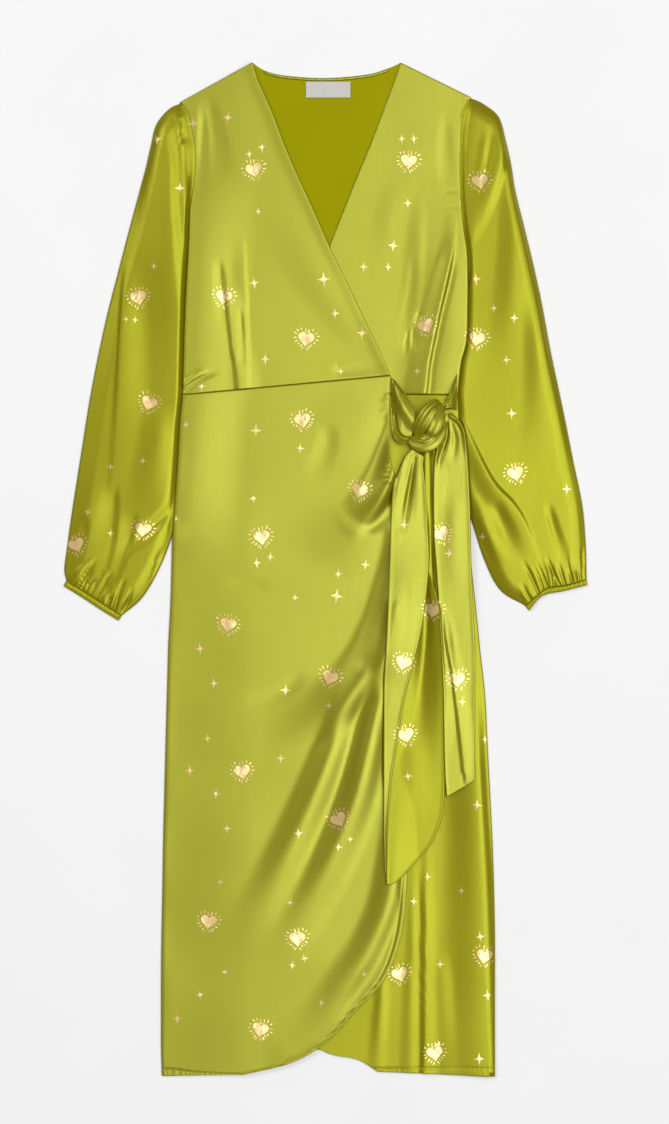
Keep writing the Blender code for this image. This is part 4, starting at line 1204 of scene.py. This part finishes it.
def heart_motif(draw):
    """A heart with short strokes all round it, as one set of points and faces."""
    points, faces = ringed(heart_outline(HEART_POINTS), 6)
    count = len(points)
    points = [points]
    rim = heart_outline(RIM_POINTS)
    steps = np.linalg.norm(np.roll(rim, -1, axis=0) - rim, axis=1)
    run = np.concatenate([[0.0], np.cumsum(steps)])[:-1] / steps.sum()
    for share in (np.arange(RAYS) + 0.5) / RAYS:
        share += draw.uniform(-0.006, 0.006)
        index = int(np.searchsorted(run, share % 1.0)) % len(rim)
        foot = rim[index]
        way = (rim[(index + 4) % len(rim)] - rim[index - 4]) @ np.array([[0, 1], [-1, 0]])
        way = way / np.linalg.norm(way)
        if way @ foot < 0:
            way = -way
        way = way * 0.55 + foot / np.linalg.norm(foot) * 0.45
        way /= np.linalg.norm(way)
        side = np.array([way[1], -way[0]]) * RAY_WIDTH / 2
        near = foot + way * (RAY_GAP + draw.uniform(-0.3, 0.3))
        far = near + way * RAY_LENGTH * draw.uniform(0.75, 1.15)
        middle = (near + far) / 2
        stroke = [near - side * 0.8, near + side * 0.8, middle + side, middle - side]
        points.append(np.array([*stroke, far + side * 0.6, far - side * 0.6]))
        faces += [[count, count + 1, count + 2, count + 3], [count + 3, count + 2, count + 4, count + 5]]
        count += 6
    return np.concatenate(points), faces


def printed(node, motifs, lift):
    """The motifs that fall on a panel, laid on its cloth and joined into one piece of foil."""
    tree = tree_of(f"{node}_satin")
    all_points, all_faces = [], []
    count = 0
    for x, y, turn, points, faces in motifs:
        c, s = math.cos(math.radians(turn)), math.sin(math.radians(turn))
        placed = points @ np.array([[c, s], [-s, c]]) + (x, y)
        heights = np.array([height_at(tree, spot) for spot in placed], float) + lift
        kept = [f for f in faces if not np.isnan(heights[f]).any() and np.ptp(heights[f]) < PRINT_STRETCH]
        if not kept:
            continue
        used = sorted({i for f in kept for i in f})
        new = {old: count + i for i, old in enumerate(used)}
        all_points.append(np.column_stack([placed, heights])[used])
        all_faces += [[new[i] for i in (f if lift > 0 else f[::-1])] for f in kept]
        count += len(used)
    if not count:
        return
    obj = piece(f"{node}_foil", np.concatenate(all_points), all_faces, [rose_gold()])
    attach(obj, "root")


class DRESS_OT_print(bpy.types.Operator):
    """Rose gold foil hearts, each with short rays, and four-pointed stars, on every panel"""

    bl_idname = "dress.foil"
    bl_label = "Foil print"

    def execute(self, context):
        draw = np.random.default_rng(5)
        seen = [(x, y, turn, *heart_motif(draw)) for x, y, turn in HEARTS]
        seen += [(x, y, draw.uniform(-8, 8), *star_motif(size * STAR_SCALE)) for x, y, size in STARS]
        hidden = []
        for x in np.arange(-300, 301, HIDDEN_STEP_X):
            for y in np.arange(-570, 590, HIDDEN_STEP_Y):
                spot = (x + draw.uniform(-20, 20), y + draw.uniform(-20, 20))
                hidden.append((*spot, draw.uniform(-30, 30), *heart_motif(draw)))
                for _ in range(2):
                    spot = (x + draw.uniform(-33, 33), y + draw.uniform(-37, 37))
                    star = star_motif(draw.uniform(4, 8))
                    hidden.append((*spot, draw.uniform(-8, 8), *star))
        fronts = ("over_front_bodice", "over_front_skirt", "under_front_bodice", "under_front_skirt")
        for node in (*fronts, "right_sleeve", "left_sleeve", "front_tail", "front_tail_turn", "side_tail"):
            printed(node, seen, PRINT_LIFT)
        for node in ("back_bodice", "back_skirt"):
            printed(node, hidden, -cloth_values().thickness / UNIT - PRINT_LIFT)
        return {"FINISHED"}


# ---------------------------------------------------------------- stage


class DRESS_OT_stage(bpy.types.Operator):
    """The pale surface below the dress, the lights and the camera above it"""

    bl_idname = "dress.stage"
    bl_label = "Stage"

    def execute(self, context):
        scene = context.scene
        stage = scene.dress_stage
        scene.view_settings.view_transform = "Standard"
        mesh = bpy.data.meshes.new("floor")
        corners = [(x * FLOOR_HALF, y * FLOOR_HALF, 0) for x, y in ((-1, -1), (1, -1), (1, 1), (-1, 1))]
        mesh.from_pydata(corners, [], [(0, 1, 2, 3)])
        pale = finish(
            "floor", stage.floor, deeper(stage.floor, 0.985), 1.0, (6.0, EVEN, 2.0), Roughness=0.85,
            Specular_IOR_Level=0.1,
        )
        mesh.materials.append(pale)
        floor = bpy.data.objects.new("floor", mesh)
        scene.collection.objects.link(floor)

        world = bpy.data.worlds.new("room")
        world.use_nodes = True
        background = world.node_tree.nodes["Background"]
        background.inputs["Color"].default_value = (1.0, 1.0, 1.0, 1.0)
        background.inputs["Strength"].default_value = stage.room
        scene.world = world

        lights = (("top light", stage.top_power, TOP_LIGHT), ("key light", stage.key_power, KEY_LIGHT))
        for name, power, (size, place) in lights:
            light = bpy.data.lights.new(name, "AREA")
            light.energy = power
            light.shape = "RECTANGLE"
            light.size, light.size_y = size
            lamp = bpy.data.objects.new(name, light)
            lamp.location = place
            lamp.rotation_euler = (-lamp.location).to_track_quat("-Z", "Y").to_euler()
            scene.collection.objects.link(lamp)

        camera = bpy.data.cameras.new("camera")
        camera.lens = stage.camera_lens
        camera.sensor_width = SENSOR_WIDTH
        view = bpy.data.objects.new("camera", camera)
        view.location = (CAMERA_X, CAMERA_Y, stage.camera_height)
        scene.collection.objects.link(view)
        scene.camera = view
        return {"FINISHED"}


class DRESS_PT_panel(bpy.types.Panel):
    """The steps that build the dress, in order"""

    bl_idname = "DRESS_PT_panel"
    bl_label = "Wrap dress"
    bl_space_type = "VIEW_3D"
    bl_region_type = "UI"
    bl_category = "Dress"

    def draw(self, context):
        for step in STEPS:
            self.layout.operator(step.bl_idname)
        for group in (context.scene.dress_cloth, context.scene.dress_stage):
            for key in group.__annotations__:
                self.layout.prop(group, key)


STEPS = (
    DRESS_OT_sleeves,
    DRESS_OT_back,
    DRESS_OT_under_front,
    DRESS_OT_over_front,
    DRESS_OT_neck,
    DRESS_OT_tie,
    DRESS_OT_print,
    DRESS_OT_stage,
)
CLASSES = (DressCloth, DressStage, *STEPS, DRESS_PT_panel)


def register():
    for cls in CLASSES:
        bpy.utils.register_class(cls)
    bpy.types.Scene.dress_cloth = PointerProperty(type=DressCloth)
    bpy.types.Scene.dress_stage = PointerProperty(type=DressStage)


def unregister():
    del bpy.types.Scene.dress_stage
    del bpy.types.Scene.dress_cloth
    for cls in reversed(CLASSES):
        bpy.utils.unregister_class(cls)


def main():
    register()
    bpy.context.scene.collection.children.link(bpy.data.collections.new("wrap dress"))
    bpy.ops.dress.sleeves()
    bpy.ops.dress.back()
    bpy.ops.dress.under_front()
    bpy.ops.dress.over_front()
    bpy.ops.dress.neck()
    bpy.ops.dress.tie()
    bpy.ops.dress.foil()
    bpy.ops.dress.stage()


if __name__ == "__main__":
    main()
